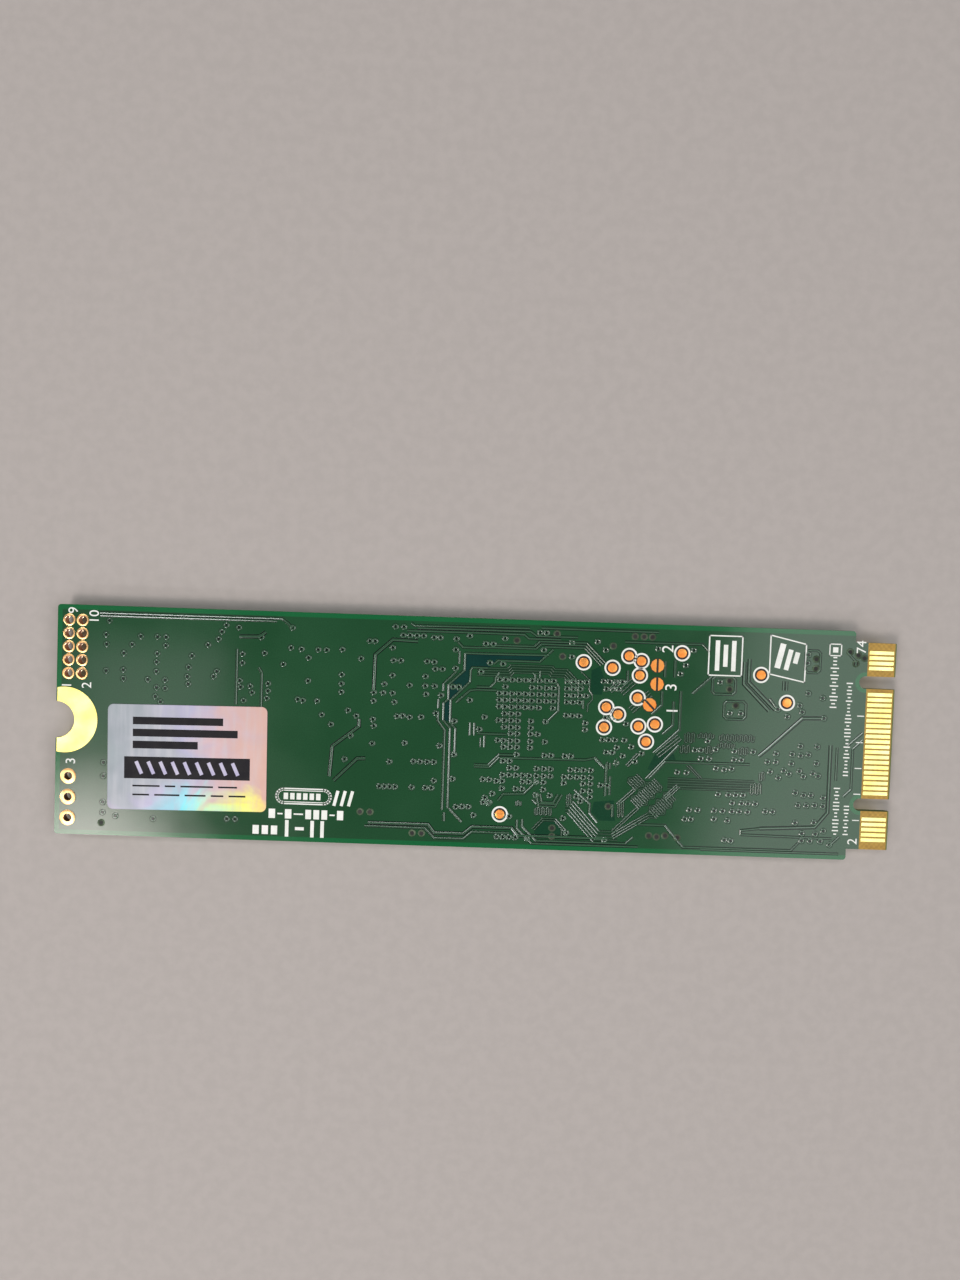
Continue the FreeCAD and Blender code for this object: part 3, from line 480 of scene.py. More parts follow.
def islandBoxes(node):  # lowest and highest corner of each separate solid of a node
    bm = mergedCopy(node)
    waiting = set(bm.verts)
    boxes = []
    while waiting:
        island, reached = set(), [waiting.pop()]
        while reached:
            vert = reached.pop()
            island.add(vert)
            near = {link.other_vert(vert) for link in vert.link_edges} - island
            reached.extend(near & waiting)
            waiting -= near
        places = [vert.co for vert in island]
        boxes.append((
            Vector([min(co[axis] for co in places) for axis in range(3)]),
            Vector([max(co[axis] for co in places) for axis in range(3)]),
        ))
    bm.free()
    return sorted(boxes, key=lambda box: (round(box[0].x, 6), round(box[0].y, 6)))


def islandMiddles(node):
    return [(low + high) / 2 for low, high in islandBoxes(node)]


def spunMesh(name, outline, steps, closed):  # outline of (radius, height) in mm, turned about Z
    bm = bmesh.new()
    verts = [bm.verts.new((radius * mm, 0, height * mm)) for radius, height in outline]
    edges = [bm.edges.new(pair) for pair in zip(verts, verts[1:])]
    if closed:
        edges.append(bm.edges.new((verts[-1], verts[0])))
    bmesh.ops.spin(
        bm, geom=verts + edges, cent=(0, 0, 0), axis=(0, 0, 1), angle=math.tau, steps=steps, use_merge=True,
    )
    bmesh.ops.remove_doubles(bm, verts=bm.verts, dist=0.0005 * mm)
    bmesh.ops.recalc_face_normals(bm, faces=bm.faces)
    if not closed and sum(face.normal.z for face in bm.faces) < 0:
        bmesh.ops.reverse_faces(bm, faces=bm.faces)
    mesh = bpy.data.meshes.new(name)
    bm.to_mesh(mesh)
    bm.free()
    return mesh


def scatter(mesh, places):  # one bmesh with a copy of the mesh at each place
    bm = bmesh.new()
    for place in places:
        mesh.transform(Matrix.Translation(place))
        bm.from_mesh(mesh)
        mesh.transform(Matrix.Translation(-place))
    bpy.data.meshes.remove(mesh)
    return bm


def takeMesh(bm, mesh, move):  # puts a moved mesh into a bmesh and removes it
    mesh.transform(move)
    bm.from_mesh(mesh)
    bpy.data.meshes.remove(mesh)


def flatMesh(curve):  # the mesh of a curve or text, which is then removed
    holder = bpy.data.objects.new(curve.name, curve)
    scene.collection.objects.link(holder)
    seen = holder.evaluated_get(bpy.context.evaluated_depsgraph_get())
    mesh = bpy.data.meshes.new_from_object(seen)
    bpy.data.objects.remove(holder)
    return mesh


def polyCurve(name, routes, closed=False):
    curve = bpy.data.curves.new(name, "CURVE")
    curve.dimensions = "2D"
    curve.fill_mode = "BOTH" if closed else "NONE"
    for route in routes:
        run = curve.splines.new("POLY")
        run.points.add(len(route) - 1)
        run.use_cyclic_u = closed
        for point, (x, y) in zip(run.points, route):
            point.co = (x, y, 0, 1)
    return curve


def sweptRoutes(name, routes, section):  # routes as (u, v) on the back, section as (across, height)
    sectionCurve = polyCurve(name + "Section", [[(a * mm, b * mm) for a, b in section]])
    sectionObject = bpy.data.objects.new(name + "Section", sectionCurve)
    scene.collection.objects.link(sectionObject)
    curve = polyCurve(name, [[onBack(u, v).xy for u, v in route] for route in routes])
    curve.bevel_mode = "OBJECT"
    curve.bevel_object = sectionObject
    bm = bmesh.new()
    takeMesh(bm, flatMesh(curve), Matrix.Translation((0, 0, backZ)))
    bpy.data.objects.remove(sectionObject)
    return bm


def addSlab(bm, middle, length, width, height, turn=0.0):  # a flat block standing on its middle point
    size = Matrix.Diagonal((length * mm, width * mm, height * mm, 1.0))
    lift = Matrix.Translation((0, 0, height * mm / 2))
    where = Matrix.Translation(middle) @ Matrix.Rotation(turn, 4, "Z")
    bmesh.ops.create_cube(bm, size=1.0, matrix=where @ lift @ size)


# Plated holes: round sleeves with a domed ring on each face
sleeveShape = {"steps": 36, "dome": 0.012, "wall": 0.05, "boreEdge": 0.03, "ringEdge": 0.05}
sleeveSizes = {  # node, radius of the bore, radius of the ring, finish
    "headerSleeves": ("header_hole_sleeves", 0.4, 0.57, "headerGold"),
    "debugSleeves": ("debug_hole_sleeves", 0.38, 0.75, "debugGold"),
}


def makeSleeves(name, node, bore, ring, finish):
    low, high = islandBoxes(node)[0]
    wall, face, half = bore + sleeveShape["wall"], halfCard / mm, (high.z - low.z) / 2 / mm
    side = half - sleeveShape["dome"]
    upper = [
        (wall, face), (ring, face), (ring, side), (ring - sleeveShape["ringEdge"], half),
        (bore + sleeveShape["boreEdge"], half), (bore, side),
    ]
    section = [(radius, -height) for radius, height in reversed(upper)] + upper
    sleeve = spunMesh(name, section, sleeveShape["steps"], True)
    addPiece(name, scatter(sleeve, islandMiddles(node)), finish, "gold_plating", node)


for name, sizes in sleeveSizes.items():
    makeSleeves(name, *sizes)
print("plated holes done")

# Copper pads in dark mask openings: round test pads with a white ring, and split jumper pads
padShape = {
    "radius": 0.43,
    "height": 0.04,
    "rim": 0.03,  # height of the button's wall, and how far its shoulder runs in
    "opening": 0.6,
    "ringIn": 0.61,
    "ringOut": 0.78,
    "ringEdge": 0.03,
    "ink": 0.026,
    "inkWall": 0.0156,
    "steps": 40,
}
jumperShape = {"opening": 0.7, "edge": 0.012}
openingShape = {"low": 0.001, "high": 0.003, "edge": 0.02}


def flatOnBack(point):
    return Vector((point.x, point.y, backZ))


def pairMiddles(node):  # the point on the back between each solid and its nearest mate
    halves = islandMiddles(node)
    middles = []
    while halves:
        first = halves.pop(0)
        mate = min(halves, key=lambda other: (other - first).length)
        halves.remove(mate)
        middles.append(flatOnBack((first + mate) / 2))
    return middles


def brokenRings(section, middles, obstacles, steps):  # rings with gaps where another pad lies
    bm = bmesh.new()
    turn = math.tau / steps
    reach = Vector(((section[0][0] + section[-1][0]) / 2 * mm, 0, 0))
    for middle in middles:
        spots = [middle + Matrix.Rotation(turn * (step + 0.5), 3, "Z") @ reach for step in range(steps)]
        free = [all((spot - place).length > room * mm for place, room in obstacles) for spot in spots]
        starts = [step for step in range(steps) if free[step] and not free[step - 1]] or [0]
        for start in starts:
            count = 0
            while count < steps and free[(start + count) % steps]:
                count += 1
            aim = Matrix.Translation(middle) @ Matrix.Rotation(turn * start, 4, "Z")
            verts = [bm.verts.new(aim @ Vector((radius * mm, 0, height * mm))) for radius, height in section]
            edges = [bm.edges.new(pair) for pair in zip(verts, verts[1:] + verts[:1])]
            bmesh.ops.spin(
                bm, geom=verts + edges, cent=middle, axis=(0, 0, 1), angle=turn * count, steps=count,
                use_merge=count == steps,
            )
    bmesh.ops.remove_doubles(bm, verts=bm.verts, dist=0.0005 * mm)
    bmesh.ops.holes_fill(bm, edges=[edge for edge in bm.edges if edge.is_boundary], sides=0)
    bmesh.ops.recalc_face_normals(bm, faces=bm.faces)
    return bm


def makeOpenings(name, radius, middles):  # thin dark discs
    low, high = openingShape["low"], openingShape["high"]
    disc = [(radius, low), (radius - openingShape["edge"], high), (0, high)]
    pit = spunMesh("opening", disc, padShape["steps"], False)
    addPiece(name, scatter(pit, middles), "pit", "board_mask")


def makeTestPads():  # gives the white rings, which the legend takes up
    middles = [flatOnBack(middle) for middle in islandMiddles("test_pads")]
    radius, height, rim, steps = (padShape[size] for size in ("radius", "height", "rim", "steps"))
    outline = [(radius, 0), (radius, rim), (radius - rim, height), (radius / 2, height), (0, height)]
    button = spunMesh("button", outline, steps, False)
    addPiece("testPads", scatter(button, middles), "copper", "bare_copper", "test_pads")
    makeOpenings("testPadOpenings", padShape["opening"], middles)
    inner, outer, edge = padShape["ringIn"], padShape["ringOut"], padShape["ringEdge"]
    ink, wall = padShape["ink"], padShape["inkWall"]
    ring = [(inner, 0), (inner, wall), (inner + edge, ink), (outer - edge, ink), (outer, wall), (outer, 0)]
    obstacles = [(middle, padShape["opening"]) for middle in middles]
    obstacles += [(middle, jumperShape["opening"]) for middle in pairMiddles("jumper_pads")]
    return brokenRings(ring, middles, obstacles, steps)


def makeJumperPads():
    halves = softenedCopy("jumper_pads", jumperShape["edge"], 1)
    addPiece("jumperHalves", halves, "copper", "bare_copper", "jumper_pads")
    makeOpenings("jumperOpenings", jumperShape["opening"], pairMiddles("jumper_pads"))


inkRings = makeTestPads()
makeJumperPads()
print("copper pads done")

# Edge contacts and the screw pads with softened edges
contactEdge = 0.02
contactPieces = {  # node, finish
    "backContacts": ("back_contact_fingers", "gold"),
    "frontContacts": ("front_contact_fingers", "gold"),
    "backScrewPad": ("back_screw_pad", "padGold"),
    "frontScrewPad": ("front_screw_pad", "padGold"),
}
for name, (node, finish) in contactPieces.items():
    addPiece(name, softenedCopy(node, contactEdge), finish, "gold_plating", node)
print("gold contacts done")

# CAD nodes that stay as they are
nodeFinishes = {
    "circuit_board": "card",
    "flash_chip_a_solder_balls": "solder",
    "flash_chip_b_solder_balls": "solder",
    "controller_chip_solder_balls": "solder",
    "memory_chip_solder_balls": "solder",
    "power_chip_contacts": "solder",
    "boot_chip_contacts": "solder",
}
for node, finish in nodeFinishes.items():
    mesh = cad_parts[node].data
    mesh.materials.clear()
    mesh.materials.append(finishes[finish])
print("node finishes done")

# Relief under the mask: copper traces and covered vias stand a few hundredths above the back

def mirrored(half):  # a full section from its left half, outermost point first
    return [(-across, height) for across, height in half] + list(reversed(half))


reliefSections = {
    "wide": mirrored([(0.2, 0), (0.19, 0.002), (0.11, 0.002), (0.04, 0.028)]),
    "fine": mirrored([(0.14, 0), (0.13, 0.002), (0.08, 0.002), (0.02, 0.025)]),
    "ridge": mirrored([(0.14, 0), (0.13, 0.002), (0.08, 0.002), (0.014, 0.028)]),
    "hair": mirrored([(0.1, 0), (0.095, 0.002), (0.05, 0.002), (0.014, 0.016)]),
}
meanderShape = {
    "bulge": 0.35,  # how round the ends are
    "outer": (0.69, 0.24),  # steps of a pair's two traces, which take turns on the outside
    "inner": (0.23, 0.7),
    "offset": 0.23,
}
landCut = 0.25  # corner of a copper land


def bundle(route, count, pitch):  # parallel copies of a route, each one pitch further to its side
    points = [Vector(point) for point in route]
    headings = [(after - before).normalized() for before, after in zip(points, points[1:])]
    routes = []
    for index in range(count):
        shifted = []
        for place, point in enumerate(points):
            ahead = headings[min(place, len(headings) - 1)]
            behind = headings[max(place - 1, 0)]
            across = (ahead + behind).orthogonal().normalized()
            spread = max(across.dot(ahead.orthogonal()), 0.5)
            shifted.append(point + across * pitch * index / spread)
        routes.append([tuple(point) for point in shifted])
    return routes


def meander(start, bar, along, steps, bars):  # bars side by side, joined at each end in turn
    at, bar, along = Vector(start), Vector(bar), Vector(along)
    route = []
    for index in range(bars):
        step = steps[index % 2]
        bulge = at + bar + along * step / 2 + bar.normalized() * step * meanderShape["bulge"]
        route += [tuple(at), tuple(at + bar), tuple(bulge)]
        at += bar + along * step
        bar = -bar
    return route[:-1]


def squiggle(u, v, bars, pitch, depth):  # an upright meander with even steps
    return meander((u, v), (0, depth), (1, 0), (pitch, pitch), bars)


def meanderPair(start, bar, along, bars):  # two nested traces
    second = Vector(start) + Vector(along) * meanderShape["offset"]
    outer = meander(start, bar, along, meanderShape["outer"], bars)
    return [outer, meander(second, bar, along, meanderShape["inner"], bars)]


def landOutline(low, high):  # a copper land seen as an outline with cut corners
    (left, top), (right, bottom) = low, high
    middle = (left, (top + bottom) / 2)
    return [
        middle, (left, top + landCut), (left + landCut, top), (right - landCut, top), (right, top + landCut),
        (right, bottom - landCut), (right - landCut, bottom), (left + landCut, bottom),
        (left, bottom - landCut), middle,
    ]


traceRoutes = {  # points as (u, v) on the back
    "wide": [
        [(34.3, 2.38), (31.9, 2.3), (30.25, 3.8), (30.2, 7.3)],
        [(28.9, 10.0), (28.9, 10.7), (26.4, 12.7), (26.2, 15.6)],
        [(29.6, 13.75), (28.8, 13.8), (26.6, 16.0)],
        [(30.0, 19.93), (35.8, 19.93), (36.4, 20.7), (39.2, 20.7), (40.0, 20.0), (43.8, 20.0),
         (44.4, 20.7), (53.0, 20.7)],
        [(73.2, 8.44), (71.25, 8.5), (68.0, 11.6), (67.2, 12.3)], [(65.5, 3.3), (65.5, 5.4), (68.0, 7.9)],
        [(65.95, 3.0), (65.95, 5.2), (68.6, 7.8)], [(17.3, 2.5), (19.2, 2.45), (19.8, 2.0)],
        [(67.6, 19.25), (72.9, 18.95), (74.06, 17.5), (74.06, 11.0)],
    ],
    "fine": [
        [(33.6, 0.66), (33.95, 0.9), (44.9, 0.79)],
        [(33.2, 1.4), (40.0, 1.38), (44.4, 1.4), (44.85, 1.77), (47.9, 1.77)],
        [(34.2, 1.12), (45.0, 1.09), (45.6, 1.5), (49.5, 1.5)],
        [(38.1, 2.3), (38.6, 2.8), (40.0, 2.8), (41.3, 2.72)], [(38.28, 3.2), (38.28, 4.4)],
        [(38.06, 5.13), (36.84, 6.36), (36.84, 7.03)], [(36.4, 7.83), (36.4, 8.7)],
        [(37.3, 18.7), (37.3, 19.56)], [(37.75, 18.3), (39.0, 19.56)],
        [(41.9, 6.8), (40.0, 6.8), (39.4, 6.9), (38.1, 8.1)],
        [(29.7, 20.25), (35.5, 20.3), (36.4, 21.2), (39.2, 21.2), (40.0, 20.5), (43.6, 20.5)],
        [(41.7, 2.5), (45.4, 2.5), (45.9, 2.0), (50.4, 2.0), (52.3, 3.9)],
        [(47.2, 2.75), (45.95, 3.95), (42.0, 3.95), (41.6, 4.3)],
        [(41.3, 2.72), (45.55, 2.72), (46.05, 2.25), (50.3, 2.25), (52.0, 3.95)],
        [(46.4, 2.5), (50.2, 2.5), (51.8, 4.1)],
        [(40.0, 6.54), (41.3, 6.54), (41.75, 6.0), (41.75, 5.6), (42.15, 5.1)],
        [(46.0, 4.8), (46.0, 5.4), (46.4, 5.85), (47.7, 6.0), (47.85, 6.3), (47.85, 8.6), (46.8, 9.7)],
        [(40.2, 11.0), (43.0, 11.0)], [(40.9, 11.2), (40.9, 12.3)], [(39.5, 10.0), (39.5, 11.2)],
        [(39.9, 10.0), (39.9, 11.2)],
        [(40.0, 14.2), (41.5, 14.2), (42.4, 13.25), (50.6, 13.2), (51.5, 13.0), (52.2, 13.7)],
        [(42.4, 17.4), (42.9, 16.75), (44.9, 16.65), (46.1, 15.4)],
        [(46.0, 16.5), (46.3, 17.8), (47.9, 17.8), (48.5, 16.6)],
        [(46.4, 16.6), (46.6, 17.4), (47.7, 17.4), (48.1, 16.6)],
        [(49.7, 16.1), (51.2, 17.4), (51.2, 18.3), (52.0, 19.2)],
        [(44.8, 19.1), (44.8, 19.8), (46.15, 21.14), (54.8, 21.14), (55.5, 20.5)],
        [(44.3, 19.2), (44.3, 20.0), (45.75, 21.42), (56.0, 21.42)],
        [(54.0, 1.77), (61.4, 1.77), (62.1, 2.45)], [(57.9, 3.5), (57.9, 5.0)],
        [(58.85, 3.3), (58.85, 5.0)], [(57.7, 6.35), (57.7, 7.7), (56.8, 8.6)],
        [(58.85, 7.3), (58.85, 9.6), (57.9, 10.5)], [(60.6, 6.5), (62.4, 4.8)],
        [(59.5, 6.3), (59.5, 10.0), (58.5, 11.0), (57.1, 12.3)], [(54.35, 4.5), (54.35, 5.5), (54.0, 5.9)],
        [(56.5, 14.8), (59.5, 11.5)], [(56.8, 14.8), (58.3, 13.1), (66.4, 13.1)],
        [(55.5, 19.25), (58.5, 19.25), (59.9, 20.9), (60.3, 21.3), (70.7, 21.27), (71.4, 20.5)],
        [(62.0, 21.46), (75.3, 21.46)], [(65.8, 19.9), (74.6, 20.0)],
        [(65.8, 19.9), (65.8, 19.5), (67.6, 19.25)], [(74.4, 20.7), (75.3, 19.8)],
        [(74.7, 11.2), (74.7, 14.4)], [(76.2, 11.3), (76.2, 15.2), (75.5, 15.9)],
        [(75.7, 11.0), (77.1, 9.7)], [(76.2, 11.3), (77.1, 10.4)], [(68.0, 6.7), (68.7, 7.6)],
        [(69.3, 5.0), (69.3, 5.9)], [(69.6, 5.0), (69.6, 5.9)], [(75.2, 2.0), (76.1, 2.9), (76.1, 3.3)],
        [(17.1, 3.7), (17.1, 9.0)], [(19.5, 5.9), (19.5, 9.2)], [(19.2, 5.4), (19.5, 5.9)],
        [(40.0, 14.0), (41.35, 14.0), (42.4, 12.95), (43.7, 12.95)], [(51.5, 12.9), (52.5, 13.9)],
        [(45.7, 17.2), (46.1, 17.55), (48.0, 17.55)], [(45.3, 5.0), (45.55, 5.2), (45.55, 5.6)],
        [(50.2, 7.5), (50.2, 8.3)],
    ],
    "ridge": [
        [(4.0, 0.69), (21.3, 0.66), (21.9, 1.1), (22.3, 1.55)], [(4.0, 0.95), (20.8, 0.92)],
        [(38.8, 3.36), (38.8, 5.0), (37.33, 6.42), (37.33, 7.83), (36.9, 8.2), (36.9, 9.8), (37.6, 10.6),
         (37.6, 18.3)],
        [(41.0, 4.7), (39.53, 4.7), (39.35, 5.0), (39.35, 6.1), (37.57, 7.9), (37.57, 10.0), (38.1, 10.6),
         (38.1, 13.0)],
        [(36.4, 9.2), (36.4, 9.9), (37.08, 10.8), (37.08, 18.46)],
        [(38.8, 3.36), (41.0, 3.36), (46.8, 3.3)], [(52.65, 13.5), (52.65, 16.6)],
        [(53.05, 14.7), (53.05, 16.5)], [(53.4, 17.4), (53.4, 18.6)], [(53.0, 13.4), (53.0, 14.0)],
        [(57.2, 0.75), (46.0, 0.72)],
    ],
    "hair": [
        [(49.9, 4.7), (50.75, 5.5), (50.75, 6.5), (51.05, 6.9), (51.05, 7.4), (50.65, 7.9), (50.65, 8.6)],
        [(48.6, 19.8), (48.6, 20.8)], [(52.75, 13.3), (52.75, 14.2)], [(53.6, 12.95), (53.6, 13.8)],
        [(40.55, 11.4), (40.55, 12.3)], [(60.35, 13.4), (61.6, 14.6)], [(60.6, 13.35), (61.85, 14.6)],
    ],
}
hairBundles = [  # first route, count, pitch
    ([(40.0, 4.7), (42.9, 4.7), (43.2, 4.35), (47.2, 4.35), (47.4, 4.6), (48.6, 4.6),
     (50.3, 6.3)], 4, 0.24),
    ([(54.0, 6.9), (56.0, 4.9)], 3, -0.3), ([(54.6, 8.1), (56.4, 6.4)], 3, 0.3),
    ([(48.9, 17.2), (49.6, 17.2), (52.2, 20.0), (54.0, 20.0)], 5, 0.28),
    ([(53.6, 20.1), (55.96, 17.73)], 2, -0.23), ([(53.6, 20.7), (57.0, 18.55), (57.67, 18.58)], 3, -0.23),
    ([(53.9, 17.55), (55.59, 15.95)], 2, -0.23), ([(58.26, 16.52), (59.51, 15.28)], 3, 0.2),
    ([(57.3, 12.3), (59.4, 10.5)], 3, 0.28), ([(58.6, 14.7), (66.9, 14.7)], 5, 0.24),
    ([(45.8, 20.0), (46.75, 18.95), (48.0, 18.95), (49.2, 20.2)], 2, 0.22),
    ([(52.6, 6.4), (53.5, 5.4)], 3, 0.2), ([(54.55, 13.6), (55.6, 12.4)], 2, 0.22),
]
squiggles = [  # u, v, bars, pitch, depth
    (46.0, 18.0, 8, 0.22, 0.6), (60.1, 10.35, 5, 0.22, 0.8), (61.3, 10.35, 8, 0.22, 0.3),
    (63.4, 10.4, 16, 0.22, 0.45), (63.3, 11.2, 8, 0.22, 0.35), (59.7, 11.55, 5, 0.22, 0.6),
    (62.1, 11.55, 4, 0.22, 0.6), (65.3, 11.6, 5, 0.22, 0.55), (66.6, 15.0, 5, 0.24, 0.9),
    (53.95, 17.05, 4, 0.17, 1.5), (67.4, 13.9, 3, 0.22, 0.7), (49.0, 16.6, 3, 0.19, 1.0),
    (44.15, 17.4, 4, 0.16, 0.35),
]
slash = (0.7, -0.715)  # the way that the slanted pairs climb
hairPairs = [  # start, bar, count of bars
    ((55.96, 17.73), (-0.8, -0.8), 7),
    ((55.59, 15.95), (-0.8, -0.74), 3),
    ((57.67, 18.58), (-0.73, -0.73), 6),
]
landFrames = [((62.5, 4.8), (64.7, 6.45)), ((63.7, 7.1), (65.8, 8.8)), ((71.3, 2.0), (72.7, 4.1))]


def makeTraces():
    for route, count, pitch in hairBundles:
        traceRoutes["hair"] += bundle(route, count, pitch)
    for start, bar, bars in hairPairs:
        traceRoutes["hair"] += meanderPair(start, bar, slash, bars)
    traceRoutes["hair"] += [squiggle(*row) for row in squiggles]
    traceRoutes["ridge"] += [landOutline(*corners) for corners in landFrames]
    for kind, routes in traceRoutes.items():
        name = kind + "Traces"
        addPiece(name, sweptRoutes(name, routes, reliefSections[kind]), "relief", "board_mask", sharp=14)
    print("traces done:", sum(len(routes) for routes in traceRoutes.values()))


makeTraces()

# Covered vias, by stretches of the card
viaSpots = [
    (4.9, 1.4), (4.6, 2.75), (4.67, 3.66), (4.67, 6.2), (6.33, 4.46), (7.1, 3.6), (7.9, 2.8), (9.5, 2.8),
    (10.3, 2.8), (10.3, 3.6), (9.5, 4.4), (9.45, 5.2), (9.45, 6.1), (6.3, 6.05), (6.33, 6.9), (8.65, 6.9),
    (10.3, 6.9), (9.5, 7.64), (10.3, 7.7), (9.4, 8.5), (9.9, 9.0), (16.0, 1.46), (15.6, 2.1), (15.3, 2.8),
    (14.3, 3.4), (12.8, 4.5), (12.5, 5.6), (12.4, 6.5), (12.5, 7.2), (15.2, 5.9), (14.9, 6.4), (17.2, 1.64),
    (17.6, 4.15), (17.6, 5.0), (17.4, 6.7), (17.5, 7.3), (18.4, 7.2), (18.6, 7.8), (17.8, 8.6),
    (19.35, 2.5), (19.7, 4.0), (22.3, 1.5), (22.2, 3.4), (23.2, 3.5), (24.8, 3.5), (25.6, 3.5), (23.9, 4.3),
    (21.5, 5.0), (23.9, 6.5), (20.1, 6.9), (20.1, 7.6), (20.0, 8.3), (22.96, 8.3), (23.45, 8.4),
    (24.8, 8.4), (25.3, 9.7), (5.84, 20.1), (9.45, 20.25), (4.6, 15.0), (4.6, 16.3), (4.6, 18.8),
    (4.6, 19.8), (16.48, 20.05), (17.28, 20.05), (29.7, 2.5), (30.2, 2.5), (31.9, 3.05), (27.1, 3.4),
    (28.9, 4.2), (32.0, 4.27), (32.7, 4.27), (35.2, 4.27), (35.9, 4.3), (36.0, 4.95), (36.7, 4.95),
    (31.94, 5.7), (35.1, 5.7), (27.1, 5.8), (27.1, 6.66), (27.1, 7.46), (33.6, 6.6), (35.1, 6.6),
    (36.0, 6.6), (31.2, 6.55), (30.2, 7.4), (31.1, 7.4), (32.0, 7.4), (35.2, 7.4), (36.65, 7.46),
    (30.2, 8.2), (32.2, 8.26), (37.76, 6.6), (38.3, 6.6), (39.4, 7.83), (32.5, 9.6), (33.04, 9.54),
    (33.7, 9.66), (34.8, 9.6), (30.2, 9.97), (30.3, 10.6), (36.2, 9.2), (38.0, 9.9), (27.8, 9.2),
    (28.6, 9.7), (26.2, 10.6), (32.1, 1.05), (32.9, 1.05), (35.8, 1.95), (36.4, 1.95), (37.94, 2.0),
    (37.9, 3.05), (37.94, 4.83), (39.2, 1.7), (30.2, 12.3), (33.3, 12.15), (36.65, 12.3), (38.06, 13.1),
    (31.9, 14.0), (36.2, 15.7), (38.0, 15.46), (34.1, 16.4), (35.4, 16.4), (36.0, 16.4), (38.4, 18.15),
    (39.0, 18.1), (39.6, 18.1), (27.6, 13.9), (28.1, 11.6), (54.4, 9.6), (54.3, 11.2), (55.0, 11.8),
    (53.6, 11.9), (56.0, 12.4), (55.4, 13.2), (54.2, 12.7), (53.6, 13.4), (57.2, 2.3), (60.6, 2.35),
    (59.9, 3.8), (59.4, 4.65), (63.25, 5.3), (64.3, 8.25), (65.35, 8.25), (61.1, 11.9), (61.7, 11.9),
    (63.1, 11.8), (64.9, 11.9), (66.7, 11.9), (62.3, 11.0), (59.5, 14.1), (60.4, 14.1), (61.7, 12.7),
    (62.5, 12.7), (64.9, 12.7), (65.6, 12.7), (63.2, 13.6), (64.0, 13.7), (64.7, 13.6), (63.5, 16.1),
    (64.5, 16.1), (65.2, 16.1), (65.9, 16.1), (64.9, 16.9), (65.8, 16.9), (66.4, 16.9), (67.1, 16.9),
    (60.8, 17.7), (61.6, 17.7), (63.2, 17.7), (64.0, 17.7), (64.9, 17.7), (65.6, 17.7), (66.4, 17.7),
    (60.4, 18.6), (61.0, 18.6), (63.2, 18.5), (64.5, 18.6), (64.3, 20.5), (64.9, 20.55), (71.55, 2.4),
    (71.5, 3.2), (70.94, 7.3), (71.2, 7.9), (73.3, 8.44), (68.86, 7.7), (69.8, 8.4), (73.1, 6.5),
    (71.7, 6.1), (71.2, 11.2), (72.8, 11.2), (68.9, 12.0), (70.45, 12.0), (71.25, 12.1), (72.0, 12.0),
    (68.1, 12.8), (68.9, 12.8), (70.4, 12.9), (72.8, 12.8), (68.4, 13.75), (69.7, 13.6), (70.2, 13.9),
    (71.2, 13.6), (71.6, 14.1), (72.5, 13.8), (73.0, 14.0), (69.2, 14.3), (70.9, 15.7), (71.7, 15.9),
    (72.4, 15.9), (73.6, 16.1), (71.2, 16.9), (72.0, 16.9), (72.8, 16.85), (73.6, 16.9), (68.1, 17.6),
    (68.8, 17.6), (71.0, 18.6), (72.8, 18.5), (73.75, 19.3), (71.7, 19.6), (73.0, 19.6), (71.7, 20.3),
    (72.5, 20.3), (73.5, 20.3), (74.4, 20.6), (42.57, 1.83), (40.75, 2.38), (41.47, 2.38), (45.88, 1.15),
    (46.5, 1.15), (46.3, 2.8), (48.95, 2.0), (51.4, 1.83), (52.2, 2.6), (49.0, 3.36), (41.2, 4.2),
    (42.45, 4.27), (40.4, 5.07), (40.85, 9.4), (40.4, 10.6), (50.3, 17.2), (41.15, 17.15), (41.5, 17.7),
    (41.85, 16.75), (48.7, 18.9), (52.75, 20.85), (45.3, 20.97), (40.1, 18.9), (49.05, 20.3),
]
viaRows = [  # first via, count, step along the card
    ((32.86, 1.83), 4, 0.65), ((34.2, 13.9), 4, 0.65), ((31.0, 16.4), 4, 0.5), ((42.3, 18.9), 3, 0.62),
    ((52.4, 9.1), 3, 0.6), ((52.1, 5.6), 4, 0.6), ((52.4, 6.3), 3, 0.6), ((52.2, 11.2), 3, 0.6),
    ((52.6, 12.4), 2, 0.6), ((42.4, 20.9), 4, 0.6), ((41.0, 17.6), 2, 0.6), ((40.9, 15.4), 2, 0.6),
    ((52.2, 15.6), 2, 0.65),
]
# the via field under the controller: columns, then for each row the stretches of columns that have one
fieldColumns = [42.2, 42.75, 43.4, 44.05, 44.7, 45.3, 46.0, 46.7, 47.35, 48.65, 49.25, 49.9, 50.5, 51.2]
fieldRows = {
    5.75: [(0, 8), (9, 12)], 6.42: [(1, 1), (5, 8), (9, 11)], 7.06: [(0, 8), (9, 12)],
    7.7: [(0, 8), (9, 11)], 8.34: [(0, 6), (8, 8)], 9.0: [(1, 3), (9, 11)],
    9.66: [(0, 3), (5, 5), (7, 7), (12, 12)], 10.3: [(1, 3), (5, 5), (12, 12)], 10.9: [(2, 3), (5, 6)],
    11.6: [(0, 3), (5, 5), (7, 7)], 12.2: [(1, 3), (5, 5)], 12.9: [(3, 3), (7, 10)], 13.56: [(1, 2)],
    14.2: [(2, 3), (6, 8), (10, 13)], 14.9: [(1, 13)], 15.5: [(0, 1), (4, 7), (9, 9), (12, 13)],
    16.2: [(1, 1), (3, 4), (7, 7), (12, 13)], 16.75: [(6, 6), (8, 8), (11, 11), (13, 13)],
}
